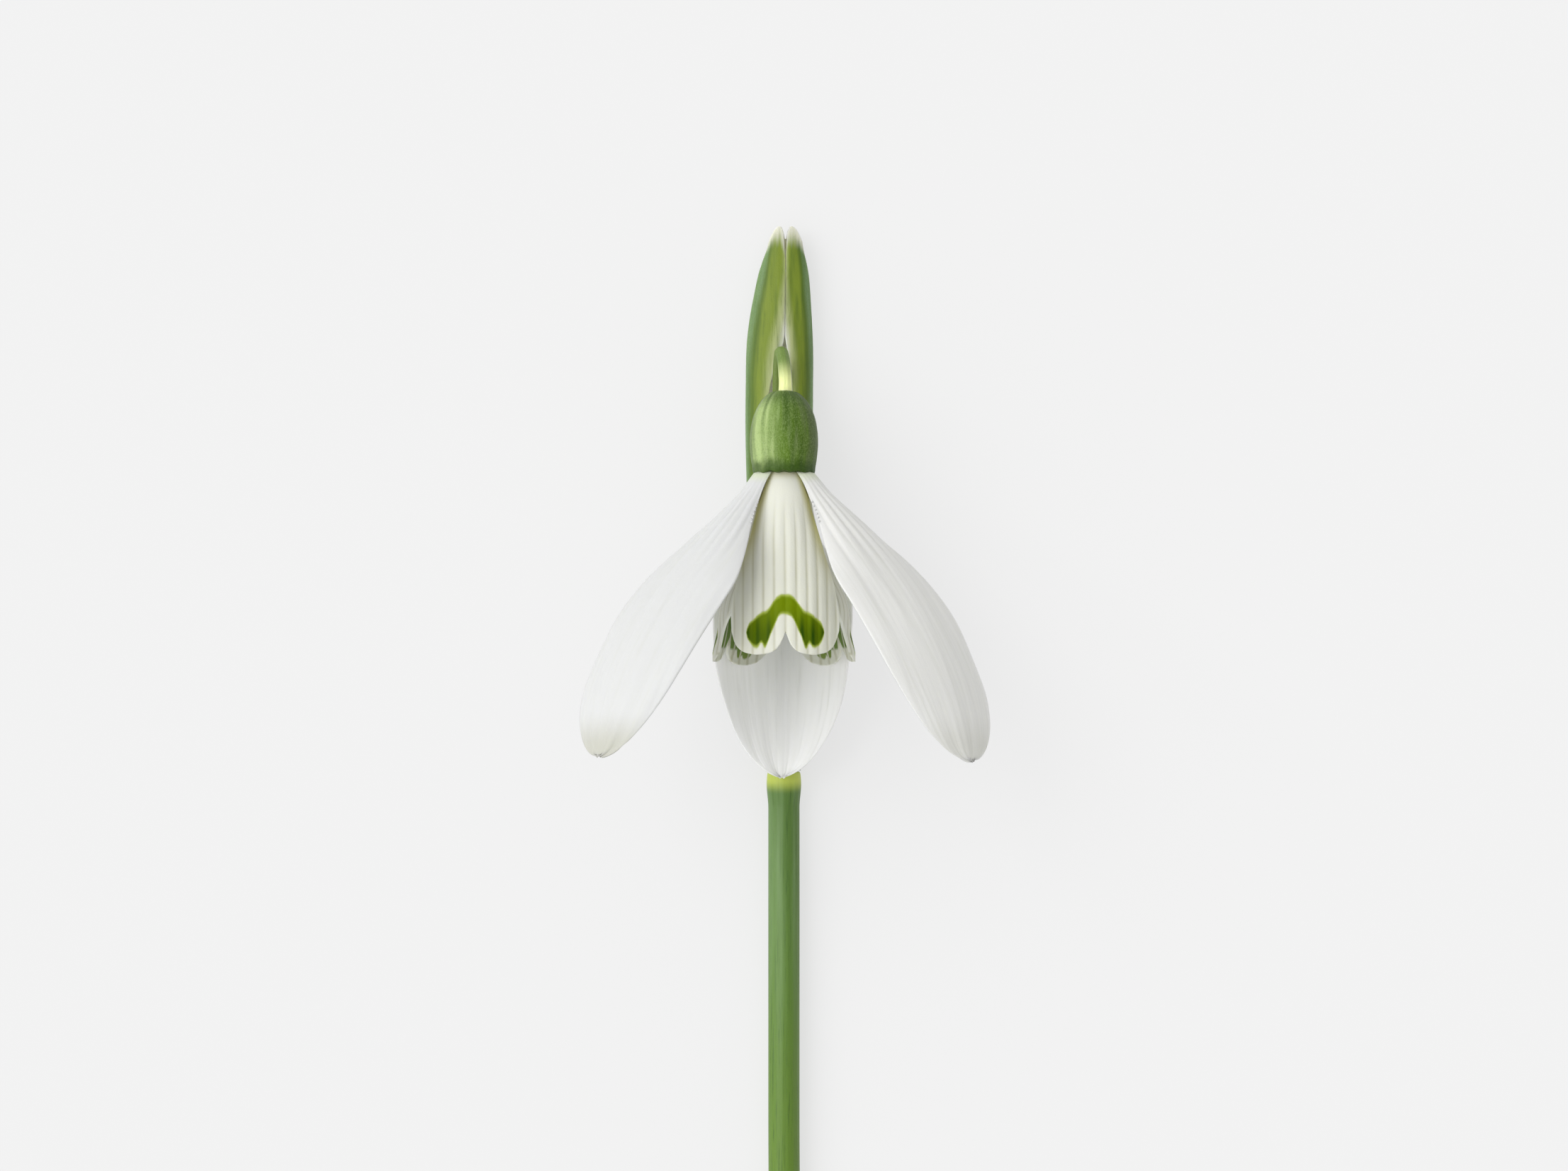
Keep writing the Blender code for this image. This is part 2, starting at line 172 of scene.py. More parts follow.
class GeometryRecipe(Recipe):
    """A Geometry Nodes tree with named inputs, which ends in Realize Instances and Set Material."""

    def __init__(self, name: str) -> None:
        """Start a tree with a geometry input and output."""
        super().__init__(bpy.data.node_groups.new(name, "GeometryNodeTree"))
        self.tree.is_modifier = True
        self.names: dict[str, str] = {}
        self.entry = self.tree.nodes.new("NodeGroupInput")
        self.tree.interface.new_socket("Geometry", in_out="OUTPUT", socket_type="NodeSocketGeometry")
        self.geometry = self.size("Geometry", None, "Geometry")
        self.material = self.size("Material", None, "Material")

    def size(self, name: str, default: object, kind: str = "Float") -> Socket:
        """Add a named input.

        Args:
            name: What the input is called.
            default: Its value where none is given.
            kind: Float, Int, Geometry or Material.

        Returns:
            The socket that carries the input inside the tree.
        """
        item = self.tree.interface.new_socket(name, in_out="INPUT", socket_type=f"NodeSocket{kind}")
        if default is not None:
            item.default_value = default
        self.names[name] = item.identifier
        return self.entry.outputs[name]

    def read(self, name: str, kind: str = "FLOAT") -> Socket:
        """Read a named attribute."""
        return self.add("GeometryNodeInputNamedAttribute", {0: name}, data_type=kind).outputs[0]

    def store(self, geometry: Socket, name: str, value: Socket | float, kind: str, domain: str, only: Socket | None = None) -> Socket:
        """Write a named attribute and return the geometry that has it."""
        inputs = {0: geometry, 1: only, "Name": name, "Value": value}
        return self.add("GeometryNodeStoreNamedAttribute", inputs, data_type=kind, domain=domain).outputs[0]

    def close(self, geometry: Socket) -> None:
        """End the tree: smooth, real and dressed."""
        smooth = self.add("GeometryNodeSetShadeSmooth", {0: geometry}).outputs[0]
        real = self.add("GeometryNodeRealizeInstances", {0: smooth}).outputs[0]
        dressed = self.add("GeometryNodeSetMaterial", {0: real, "Material": self.material}).outputs[0]
        self.add("NodeGroupOutput", {0: dressed})

    def apply(self, base: bpy.types.Object, name: str, material: bpy.types.Material, **sizes: float) -> bpy.types.Object:
        """Run the tree on a base object, and keep its result as a plain mesh.

        Args:
            base: The object that the tree works on. It is used up.
            name: The finished piece's name.
            material: The finish that it gets.
            **sizes: Values of the tree's inputs, with _ for each space in their names.

        Returns:
            The finished piece, at the origin, with no modifier.
        """
        modifier = base.modifiers.new("Recipe", "NODES")
        modifier.node_group = self.tree
        modifier[self.names["Material"]] = material
        for key, value in sizes.items():
            modifier[self.names[key.replace("_", " ")]] = value
        bpy.context.view_layer.update()
        graph = bpy.context.evaluated_depsgraph_get()
        mesh = bpy.data.meshes.new_from_object(base.evaluated_get(graph))
        mesh.name = name
        bpy.data.objects.remove(base, do_unlink=True)
        piece = bpy.data.objects.new(name, mesh)
        bpy.context.scene.collection.objects.link(piece)
        return piece


def walled_petal_recipe() -> GeometryRecipe:
    """Build the tree that gives an open petal its veins, its rippled rim and its wall.

    Returns:
        The tree. It reads along (0 at the claw to 1), across (-1 to 1) and rib (in ribs from the middle).
    """
    r = GeometryRecipe("walled_petal")
    height = r.size("Rib Height", 0.05)
    start, end = r.size("Rib Start", 0.1), r.size("Rib End", 0.9)
    fold, folds = r.size("Fold Height", 0.05), r.size("Fold Density", 1.0)
    ripple, waves = r.size("Ripple Height", 0.05), r.size("Ripple Waves", 9.0)
    wall, rim = r.size("Wall", 0.3), r.size("Rim Wall", 0.15)
    seed = r.size("Seed", 0.0)
    along, across, rib = r.read("along"), r.read("across"), r.read("rib")
    ridge = r.math("SUBTRACT", r.math("ABSOLUTE", r.math("COSINE", r.math("MULTIPLY", rib, math.pi))), 0.64)
    grow = r.add("ShaderNodeMapRange", {0: along, 1: start, 2: r.math("ADD", start, 0.25)}, interpolation_type="SMOOTHSTEP").outputs[0]
    fade = r.add("ShaderNodeMapRange", {0: along, 1: end, 2: r.math("SUBTRACT", end, 0.2)}, interpolation_type="SMOOTHSTEP").outputs[0]
    edge = r.math("POWER", r.math("ABSOLUTE", across), 4.0)
    flat = r.math("SUBTRACT", 1.0, edge)
    ribs = r.math("MULTIPLY", r.math("MULTIPLY", r.math("MULTIPLY", grow, fade), r.math("MULTIPLY", ridge, flat)), height)
    lengthwise = r.vector(rib, r.math("MULTIPLY", along, 2.0), r.math("MULTIPLY", seed, 20.0))
    pleats = r.add("ShaderNodeTexNoise", {"Vector": lengthwise, "Scale": folds, "Detail": 2.0}).outputs[0]
    lumps = r.math("MULTIPLY", r.math("MULTIPLY", r.math("SUBTRACT", pleats, 0.5), grow), fold)
    turns = r.math("MULTIPLY", along, r.math("MULTIPLY", waves, 2 * math.pi))
    side = r.math("MULTIPLY", r.math("SIGN", across), 1.7)
    wave = r.math("SINE", r.math("ADD", r.math("ADD", turns, side), r.math("MULTIPLY", seed, 900.0)))
    rims = r.math("MULTIPLY", r.math("MULTIPLY", wave, edge), r.math("MULTIPLY", ripple, grow))
    lift = r.math("MULTIPLY", r.math("ADD", ribs, r.math("ADD", lumps, rims)), MM)
    normal = r.add("GeometryNodeInputNormal").outputs[0]
    face = r.add("GeometryNodeSetPosition", {0: r.geometry, "Offset": r.scaled(normal, lift)}).outputs[0]
    face = r.store(face, "facing", r.add("GeometryNodeInputNormal").outputs[0], "FLOAT_VECTOR", "POINT")
    extruded = r.add("GeometryNodeExtrudeMesh", {0: face, "Offset Scale": 0.0, "Individual": False})
    thin = r.math("MAXIMUM", edge, r.rise(along, 0.93, 1.0))
    depth = r.math("ADD", wall, r.math("MULTIPLY", r.math("SUBTRACT", rim, wall), thin))
    inwards = r.scaled(r.read("facing", "FLOAT_VECTOR"), r.math("MULTIPLY", depth, -MM))
    back = r.add("GeometryNodeSetPosition", {0: extruded.outputs[0], 1: extruded.outputs["Top"], "Offset": inwards}).outputs[0]
    back = r.store(back, "inside", 1.0, "FLOAT", "FACE", extruded.outputs["Top"])
    back = r.add("GeometryNodeFlipFaces", {0: back}).outputs[0]
    joined = r.add("GeometryNodeJoinGeometry")
    r.tree.links.new(face, joined.inputs[0])
    r.tree.links.new(back, joined.inputs[0])
    sewn = r.add("GeometryNodeMergeByDistance", {0: joined.outputs[0], "Distance": 2e-7}).outputs[0]
    bare = r.add("GeometryNodeRemoveAttribute", {0: sewn, "Name": "facing"}).outputs[0]
    r.close(bare)
    return r


def ridged_skin_recipe() -> GeometryRecipe:
    """Build the tree that raises fine ribs and grain on a closed body along its own normals.

    Returns:
        The tree. It reads the vector skin, whose last part runs lengthwise.
    """
    r = GeometryRecipe("ridged_skin")
    height, scale = r.size("Ridge Height", 0.02), r.size("Ridge Density", 3.0)
    stretch = r.size("Stretch", 0.1)
    grain, grains = r.size("Grain Height", 0.0), r.size("Grain Density", 30.0)
    seed = r.size("Seed", 0.0)
    skin = r.add("ShaderNodeSeparateXYZ", {0: r.read("skin", "FLOAT_VECTOR")})
    long = r.math("MULTIPLY", skin.outputs[2], stretch)
    place = r.vector(r.math("ADD", skin.outputs[0], seed), skin.outputs[1], long)
    ridges = r.add("ShaderNodeTexNoise", {"Vector": place, "Scale": scale, "Detail": 2.0}).outputs[0]
    spots = r.add("ShaderNodeTexNoise", {"Vector": r.read("skin", "FLOAT_VECTOR"), "Scale": grains, "Detail": 1.0}).outputs[0]
    lift = r.math(
        "ADD",
        r.math("MULTIPLY", r.math("SUBTRACT", ridges, 0.5), height),
        r.math("MULTIPLY", r.math("SUBTRACT", spots, 0.5), grain),
    )
    normal = r.add("GeometryNodeInputNormal").outputs[0]
    offset = r.scaled(normal, r.math("MULTIPLY", lift, MM))
    r.close(r.add("GeometryNodeSetPosition", {0: r.geometry, "Offset": offset}).outputs[0])
    return r


def stalk_recipe() -> GeometryRecipe:
    """Build the tree that sweeps a round, faintly ridged section along a line of points.

    Returns:
        The tree. It reads girth, the radius in millimetres at each point, and leaves skin and along.
    """
    r = GeometryRecipe("stalk")
    sides = r.size("Sides", 48, "Int")
    ridges, height = r.size("Ridges", 14.0), r.size("Ridge Height", 0.01)
    seed = r.size("Seed", 0.0)
    line = r.add("GeometryNodeMeshToCurve", {0: r.geometry}).outputs[0]
    length = r.add("GeometryNodeSplineParameter").outputs["Length"]
    line = r.store(line, "along", r.math("DIVIDE", length, MM), "FLOAT", "POINT")
    ring = r.add("GeometryNodeCurvePrimitiveCircle", {"Resolution": sides, "Radius": MM}).outputs[0]
    place = r.add("GeometryNodeInputPosition").outputs[0]
    ring = r.store(ring, "ring", r.scaled(place, 1 / MM), "FLOAT_VECTOR", "POINT")
    girth = r.read("girth")
    swept = r.add("GeometryNodeCurveToMesh", {0: line, 1: ring, "Scale": girth, "Fill Caps": True}).outputs[0]
    parts = r.add("ShaderNodeSeparateXYZ", {0: r.read("ring", "FLOAT_VECTOR")})
    skin = r.vector(parts.outputs[0], parts.outputs[1], r.read("along"))
    swept = r.store(swept, "skin", skin, "FLOAT_VECTOR", "POINT")
    turn = r.math("ARCTAN2", parts.outputs[1], parts.outputs[0])
    drift = r.math("MULTIPLY", r.noise(r.stretched(skin, (0.7, 0.7, 0.05)), 1.0), 3.0)
    wave = r.math("SINE", r.math("ADD", r.math("MULTIPLY", turn, ridges), r.math("ADD", drift, seed)))
    lift = r.math("MULTIPLY", r.math("MULTIPLY", wave, height), MM)
    normal = r.add("GeometryNodeInputNormal").outputs[0]
    r.close(r.add("GeometryNodeSetPosition", {0: swept, "Offset": r.scaled(normal, lift)}).outputs[0])
    return r


def papillae_recipe() -> GeometryRecipe:
    """Build the tree that sets small rounded teeth along a line, as the claw of an outer petal has.

    Returns:
        The tree. Each point of the line carries lean, the direction in which its tooth stands.
    """
    r = GeometryRecipe("papillae")
    length, width = r.size("Tooth Length", 0.3), r.size("Tooth Width", 0.12)
    count, seed = r.size("Count", 8, "Int"), r.size("Seed", 1, "Int")
    line = r.add("GeometryNodeMeshToCurve", {0: r.geometry}).outputs[0]
    spaced = r.add("GeometryNodeResampleCurve", {0: line, "Count": count}).outputs[0]
    tooth = r.add("GeometryNodeMeshUVSphere", {"Segments": 12, "Rings": 8, "Radius": MM}).outputs[0]
    tooth = r.store(tooth, "along", 0.2, "FLOAT", "POINT")
    turned = r.add("FunctionNodeAlignRotationToVector", {"Vector": r.read("lean", "FLOAT_VECTOR")}, axis="Z").outputs[0]
    chance = r.add("FunctionNodeRandomValue", {"Min": 0.7, "Max": 1.15, "Seed": seed}, data_type="FLOAT").outputs["Value"]
    thick = r.math("MULTIPLY", width, 0.5)
    size = r.vector(thick, thick, r.math("MULTIPLY", r.math("MULTIPLY", length, 0.5), chance))
    teeth = r.add("GeometryNodeInstanceOnPoints", {0: spaced, "Instance": tooth, "Rotation": turned, "Scale": size}).outputs[0]
    r.close(teeth)
    return r


# ---------------------------------------------------------------- finishes


class Shading(Recipe):
    """A material under construction around one Principled shader."""

    def __init__(self, name: str) -> None:
        """Start a material."""
        self.material = bpy.data.materials.new(name)
        self.material.use_nodes = True
        super().__init__(self.material.node_tree)
        self.shader = self.tree.nodes["Principled BSDF"]
        self.place = self.add("ShaderNodeTexCoord").outputs["Object"]

    def read(self, name: str, output: str = "Fac") -> Socket:
        """Read one of the piece's own attributes."""
        return self.add("ShaderNodeAttribute", attribute_name=name, attribute_type="GEOMETRY").outputs[output]

    def mix(self, share: Socket | float, first: Colour | Socket, second: Colour | Socket, blend: str = "MIX") -> Socket:
        """Go from one colour to another as share goes from 0 to 1."""
        ends = [(*c, 1.0) if isinstance(c, tuple) else c for c in (first, second)]
        inputs = {"Factor": share, 6: ends[0], 7: ends[1]}
        return self.add("ShaderNodeMix", inputs, data_type="RGBA", blend_type=blend).outputs[2]

    def curve(self, value: Socket, keys: Keys, reach: float, top: float) -> Socket:
        """Read a curve through listed keys.

        Args:
            value: Where to read it.
            keys: (position, value) keys, in millimetres.
            reach: The position at its far end.
            top: A height that no key exceeds.

        Returns:
            The curve's value.
        """
        node = self.add("ShaderNodeFloatCurve", {"Value": self.math("DIVIDE", value, reach)})
        line = node.mapping.curves[0]
        for i, (position, height) in enumerate(keys):
            spot = (position / reach, height / top)
            if i < 2:
                line.points[i].location = spot
            else:
                line.points.new(*spot)
        node.mapping.update()
        return self.math("MULTIPLY", node.outputs[0], top)

    def bump(self, height: Socket, distance: float, strength: float = 1.0) -> None:
        """Roughen the surface by a height pattern, whose full height is distance millimetres."""
        inputs = {"Height": height, "Distance": distance * MM, "Strength": strength}
        node = self.add("ShaderNodeBump", inputs)
        self.tree.links.new(node.outputs[0], self.shader.inputs["Normal"])

    def close(self, colour: Socket, roughness: Socket | float, **constants: object) -> bpy.types.Material:
        """Finish the material.

        Args:
            colour: The base colour.
            roughness: The roughness.
            **constants: Further shader inputs, with _ for each space in their names.

        Returns:
            The material.
        """
        self.tree.links.new(colour, self.shader.inputs["Base Color"])
        if isinstance(roughness, Socket):
            self.tree.links.new(roughness, self.shader.inputs["Roughness"])
        else:
            self.shader.inputs["Roughness"].default_value = roughness
        for key, value in constants.items():
            self.shader.inputs[key.replace("_", " ")].default_value = value
        return self.material


@dataclass(frozen=True)
class OuterPetalFinish:
    """Satin white petal with faint, uneven lengthwise veins; a copy may have its tip greyed by painted shade and a
    middle band of painted shade.
    """

    name: str
    white: Colour = (0.66, 0.665, 0.65)
    vein: Colour = (0.52, 0.53, 0.48)
    vein_share: float = 0.4
    # Painted shade: grey laid on the tip, more on the left petal than on the right.
    tip: Colour = (0.42, 0.42, 0.36)
    tip_shade_share: float = 0.0
    # Painted shade: a darker band down the middle, where the cup's shadow falls on the back petal.
    shade_band: Colour = (0.50, 0.50, 0.41)
    shade_band_share: float = 0.0
    base: Colour = (0.50, 0.60, 0.24)

    def material(self) -> bpy.types.Material:
        """Build the material."""
        s = Shading(self.name)
        along, across, rib = s.read("along"), s.read("across"), s.read("rib")
        lengthwise = s.vector(rib, s.math("MULTIPLY", along, 1.5), 0.0)
        fine, broad = s.noise(lengthwise, 3.2, 2.0), s.noise(lengthwise, 0.9, 2.0)
        veins = s.math("MULTIPLY", s.rise(fine, 0.45, 0.8), s.rise(broad, 0.35, 0.7))
        colour = s.mix(s.math("MULTIPLY", veins, self.vein_share), self.white, self.vein)
        colour = s.mix(s.math("MULTIPLY", s.rise(broad, 0.45, 0.8), 0.4 * self.vein_share), colour, self.vein)
        # Painted shade: a darker band down the middle.
        middle = s.math("MULTIPLY", s.rise(s.math("ABSOLUTE", across), 0.5, 0.08), self.shade_band_share)
        colour = s.mix(middle, colour, self.shade_band)
        # Painted shade greys the tip.
        colour = s.mix(s.math("MULTIPLY", s.rise(along, 0.86, 0.99), self.tip_shade_share), colour, self.tip)
        colour = s.mix(s.math("MULTIPLY", s.rise(along, 0.045, 0.01), 0.4), colour, self.base)
        cells = s.noise(s.stretched(s.place, (1.0, 0.3, 1.0)), 9000.0, 2.0, 0.6)
        s.bump(s.math("ADD", s.math("MULTIPLY", cells, 0.5), fine), 0.03, 0.4)
        rough = s.math("ADD", 0.45, s.math("MULTIPLY", cells, 0.16))
        return s.close(
            colour, rough, Subsurface_Weight=0.4, Subsurface_Scale=0.001, Subsurface_Radius=(1.0, 1.0, 0.85),
            Specular_IOR_Level=0.3,
        )


@dataclass(frozen=True)
class InnerPetalFinish:
    """Creamy ribbed petal with a green inverted V outside and green stripes inside, painted shade in its grooves and
    painted shade at the sides of its waist.

    The mark's two outlines are (distance from the midrib, distance from the claw), in millimetres.
    """

    name: str = "cup_petal_cream"
    cream: Colour = (0.68, 0.685, 0.605)
    # Painted shade: the colour laid in the grooves between ribs.
    groove: Colour = (0.48, 0.475, 0.36)
    # Olive: painted shade at the waist's sides, and the tint at the claw's foot.
    throat: Colour = (0.50, 0.47, 0.17)
    margin: Colour = (0.82, 0.83, 0.74)
    mark_light: Colour = (0.15, 0.22, 0.0)
    mark_dark: Colour = (0.018, 0.055, 0.0)
    stripe_green: Colour = (0.10, 0.19, 0.004)
    mark_rim: Colour = (0.30, 0.38, 0.01)
    reach: float = 3.2
    depth: float = 14.0
    upper: Keys = (
        (0, 9.0), (3.2, 13.2), (0.45, 9.08), (0.8, 9.38), (1.0, 9.72), (1.25, 10.06), (1.65, 10.26), (2.05, 10.5),
        (2.4, 10.78), (2.7, 11.15), (2.88, 11.7),
    )
    lower: Keys = (
        (0, 10.5), (3.2, 10.6), (0.28, 10.54), (0.52, 10.78), (0.74, 11.25), (0.92, 11.65), (1.1, 12.1), (1.24, 12.5),
        (1.42, 12.84), (1.7, 12.58), (1.95, 12.86), (2.2, 12.84), (2.5, 12.55), (2.75, 12.05), (2.88, 11.6),
    )

    def mark(self, s: Shading, reach: Socket, depth: Socket, inside: Socket) -> Socket:
        """Draw the inverted V of the outer face.

        Args:
            s: The material under construction.
            reach: Distance from the midrib.
            depth: Distance from the claw.
            inside: 1 on the inner face.

        Returns:
            1 in the mark, 0 elsewhere.
        """
        wobble = s.math("MULTIPLY", s.math("SUBTRACT", s.noise(s.place, 1500.0, 2.0), 0.5), 0.3)
        here = s.math("ADD", depth, wobble)
        below = s.math("SUBTRACT", here, s.curve(reach, self.upper, self.reach, self.depth))
        above = s.math("SUBTRACT", s.curve(reach, self.lower, self.reach, self.depth), here)
        both = s.math("MINIMUM", below, above)
        near = s.rise(reach, 2.92, 2.78)
        return s.math("MULTIPLY", s.math("MULTIPLY", s.rise(both, -0.14, 0.42), near), s.math("SUBTRACT", 1.0, inside))

    def material(self) -> bpy.types.Material:
        """Build the material."""
        s = Shading(self.name)
        along, across, rib = s.read("along"), s.read("across"), s.read("rib")
        inside = s.read("inside")
        skin = s.add("ShaderNodeSeparateXYZ", {0: s.read("skin", "Vector")})
        reach, depth = s.math("ABSOLUTE", skin.outputs[0]), skin.outputs[1]
        ridge = s.math("ABSOLUTE", s.math("COSINE", s.math("MULTIPLY", rib, math.pi)))
        # Painted shade in the grooves between the ribs.
        groove_shade = s.math("MULTIPLY", s.rise(ridge, 0.66, 0.0), s.rise(along, 0.05, 0.6))
        mottle = s.noise(s.stretched(s.place, (1.0, 0.4, 1.0)), 700.0, 3.0)
        colour = s.mix(s.math("MULTIPLY", groove_shade, s.math("ADD", 0.25, s.math("MULTIPLY", mottle, 0.9))), self.cream, self.groove)
        edge = s.math("ABSOLUTE", across)
        # Painted shade at the sides of the waist, in the gap beside the outer petals' claws.
        waist_shade = s.math("MULTIPLY", s.rise(edge, 0.6, 1.0), s.rise(along, 0.7, 0.25))
        colour = s.mix(s.math("MULTIPLY", waist_shade, 0.9), colour, self.throat)
        colour = s.mix(s.math("MULTIPLY", s.rise(along, 0.06, 0.0), 0.45), colour, self.throat)
        rim = s.math("MULTIPLY", s.rise(edge, 0.9, 1.0), s.rise(along, 0.5, 0.8))
        colour = s.mix(rim, colour, self.margin)
        mark = self.mark(s, reach, depth, inside)
        vein = s.math("MULTIPLY", s.rise(s.math("ABSOLUTE", s.math("SINE", s.math("MULTIPLY", rib, math.pi))), 0.9, 0.1), 0.5)
        deep = s.math(
            "ADD", s.math("MULTIPLY", s.rise(depth, 9.6, 12.2), 0.55),
            s.math("MULTIPLY", s.math("MULTIPLY", vein, mottle), s.math("MULTIPLY", s.rise(depth, 9.6, 11.6), 1.6)),
        )
        green = s.mix(deep, self.mark_light, self.mark_dark)
        halo = s.rise(mark, 0.0, 0.5)
        colour = s.mix(s.math("MULTIPLY", halo, 0.9), colour, self.mark_rim)
        colour = s.mix(s.rise(mark, 0.35, 1.0), colour, green)
        stripe = s.math("MULTIPLY", s.math("MAXIMUM", s.rise(ridge, 0.0, 0.3), s.rise(reach, 2.2, 2.5)), inside)
        limit = s.math("MAXIMUM", s.curve(reach, self.lower, self.reach, self.depth), 12.2)
        short = s.math("SUBTRACT", limit, depth)
        near_rim = s.math("MULTIPLY", s.rise(short, -0.05, 0.2), s.rise(skin.outputs[2], 0.25, 0.5))
        extent = s.math("MULTIPLY", near_rim, s.rise(depth, 4.0, 7.0))
        lined = s.math("MULTIPLY", stripe, extent)
        fresh = s.mix(s.rise(depth, 12.9, 11.8), self.mark_light, self.stripe_green)
        colour = s.mix(s.math("MULTIPLY", lined, 0.9), colour, fresh)
        cells = s.noise(s.stretched(s.place, (1.0, 0.35, 1.0)), 8000.0, 2.0, 0.6)
        s.bump(s.math("ADD", s.math("MULTIPLY", cells, 0.5), mottle), 0.04, 0.5)
        rough = s.math("ADD", 0.4, s.math("MULTIPLY", cells, 0.18))
        return s.close(
            colour, rough, Subsurface_Weight=0.25, Subsurface_Scale=0.0006, Subsurface_Radius=(1.0, 1.0, 0.6),
            Specular_IOR_Level=0.06,
        )


@dataclass(frozen=True)
class StemFinish:
    """Waxy green stem skin with fine lengthwise streaks, a bloom, and a lime collar at its top."""

    name: str = "stem_green"
    top_green: Colour = tint(80, 114, 40)
    foot_green: Colour = tint(92, 124, 30)
    streak: Colour = tint(46, 80, 14)
    bloom: Colour = tint(126, 156, 104)
    collar: Colour = tint(190, 202, 84)
    pith: Colour = tint(180, 192, 120)
    length: float = 60.0

    def material(self) -> bpy.types.Material:
        """Build the material."""
        s = Shading(self.name)
        along = s.read("along")
        skin = s.read("skin", "Vector")
        fine = s.noise(s.stretched(skin, (1.0, 1.0, 0.035)), 9.0, 3.0, 0.6)
        broad = s.noise(s.stretched(skin, (1.0, 1.0, 0.05)), 1.1, 2.0)
        colour = s.mix(s.rise(along, 2.0, 34.0), self.top_green, self.foot_green)
        colour = s.mix(s.math("MULTIPLY", s.rise(fine, 0.5, 0.72), 0.6), colour, self.streak)
        waxy = s.math("MULTIPLY", s.rise(broad, 0.4, 0.7), s.rise(along, 30.0, 3.0))
        colour = s.mix(s.math("MULTIPLY", waxy, 0.45), colour, self.bloom)
        colour = s.mix(s.math("MULTIPLY", s.rise(along, 1.5, 0.5), 0.9), colour, self.collar)
        speck = s.noise(skin, 34.0, 1.0)
        colour = s.mix(s.math("MULTIPLY", s.rise(speck, 0.62, 0.74), 0.3), colour, self.bloom)
        colour = s.mix(s.rise(along, self.length - 0.02, self.length + 0.02), colour, self.pith)
        s.bump(s.math("ADD", fine, s.math("MULTIPLY", speck, 0.5)), 0.03, 0.6)
        rough = s.math("ADD", 0.36, s.math("MULTIPLY", fine, 0.2))
        return s.close(
            colour, rough, Subsurface_Weight=0.12, Subsurface_Scale=0.0006, Subsurface_Radius=(0.6, 1.0, 0.3),
            Specular_IOR_Level=0.45,
        )


@dataclass(frozen=True)
class SheathFinish:
    """Bract sheath: two glaucous green keels joined by pale papery membrane, with whitish tips, and an inner face
    painted near-white, partly its own pale colour and partly painted light shining through the membrane.
    """

    name: str = "sheath_green"
    keel: Colour = tint(112, 138, 92)
    line: Colour = tint(66, 94, 24)
    flank: Colour = tint(118, 136, 36)
    pale: Colour = tint(172, 180, 128)
    slit: Colour = tint(214, 216, 198)
    # The inner face: partly the membrane's own pale colour, partly painted light shining through it.
    pale_lit_lining: Colour = (0.92, 0.93, 0.84)
    tip: Colour = tint(200, 200, 184)
    length: float = 39.1

    def material(self) -> bpy.types.Material:
        """Build the material."""
        s = Shading(self.name)
        share, along = s.math("ABSOLUTE", s.read("across")), s.read("along")
        skin, inside = s.read("skin", "Vector"), s.read("inside")
        fibres = s.noise(s.stretched(skin, (1.0, 1.0, 0.04)), 5.0, 3.0, 0.6)
        wander = s.math("MULTIPLY", s.math("SUBTRACT", fibres, 0.5), 0.12)
        narrow = s.math("MULTIPLY", s.rise(along, 28.0, 37.0), 0.13)
        here = s.math("ADD", s.math("ADD", share, wander), narrow)
        closed = s.math("ADD", here, s.math("MULTIPLY", s.rise(along, 28.0, 36.0), 0.26))
        colour = s.mix(s.rise(closed, 0.1, 0.34), self.slit, self.pale)
        colour = s.mix(s.rise(closed, 0.28, 0.6), colour, self.flank)
        colour = s.mix(s.math("MULTIPLY", s.rise(here, 0.66, 0.82), 0.7), colour, self.line)
        speck = s.noise(skin, 14.0, 2.0)
        bloomed = s.mix(s.math("MULTIPLY", s.rise(speck, 0.45, 0.7), 0.35), self.keel, self.line)
        colour = s.mix(s.rise(here, 0.8, 0.97), colour, bloomed)
        # Inner face near-white: partly own colour, partly painted light through the membrane.
        colour = s.mix(s.math("MULTIPLY", inside, 0.95), colour, self.pale_lit_lining)
        foot = s.math("MULTIPLY", s.rise(along, 9.0, 1.0), 0.8)
        colour = s.mix(foot, colour, self.line)
        outside = s.math("SUBTRACT", 1.0, inside)
        broad = s.noise(s.stretched(skin, (1.0, 1.0, 0.08)), 1.6, 2.0)
        patches = s.math("MULTIPLY", s.rise(broad, 0.45, 0.7), 0.4)
        colour = s.mix(s.math("MULTIPLY", patches, outside), colour, self.line)
        strands = s.math("MULTIPLY", s.math("MULTIPLY", s.rise(fibres, 0.5, 0.75), 0.4), outside)
        colour = s.mix(strands, colour, self.line)
        ragged = s.math("ADD", along, s.math("MULTIPLY", fibres, 1.0))
        colour = s.mix(s.rise(ragged, self.length - 1.1, self.length + 0.4), colour, self.tip)
        s.bump(s.math("ADD", fibres, s.math("MULTIPLY", speck, 0.5)), 0.04, 0.6)
        rough = s.math("ADD", 0.42, s.math("MULTIPLY", speck, 0.2))
        return s.close(
            colour, rough, Subsurface_Weight=0.6, Subsurface_Scale=0.0012, Subsurface_Radius=(1.0, 1.0, 0.6),
            Specular_IOR_Level=0.3,
        )


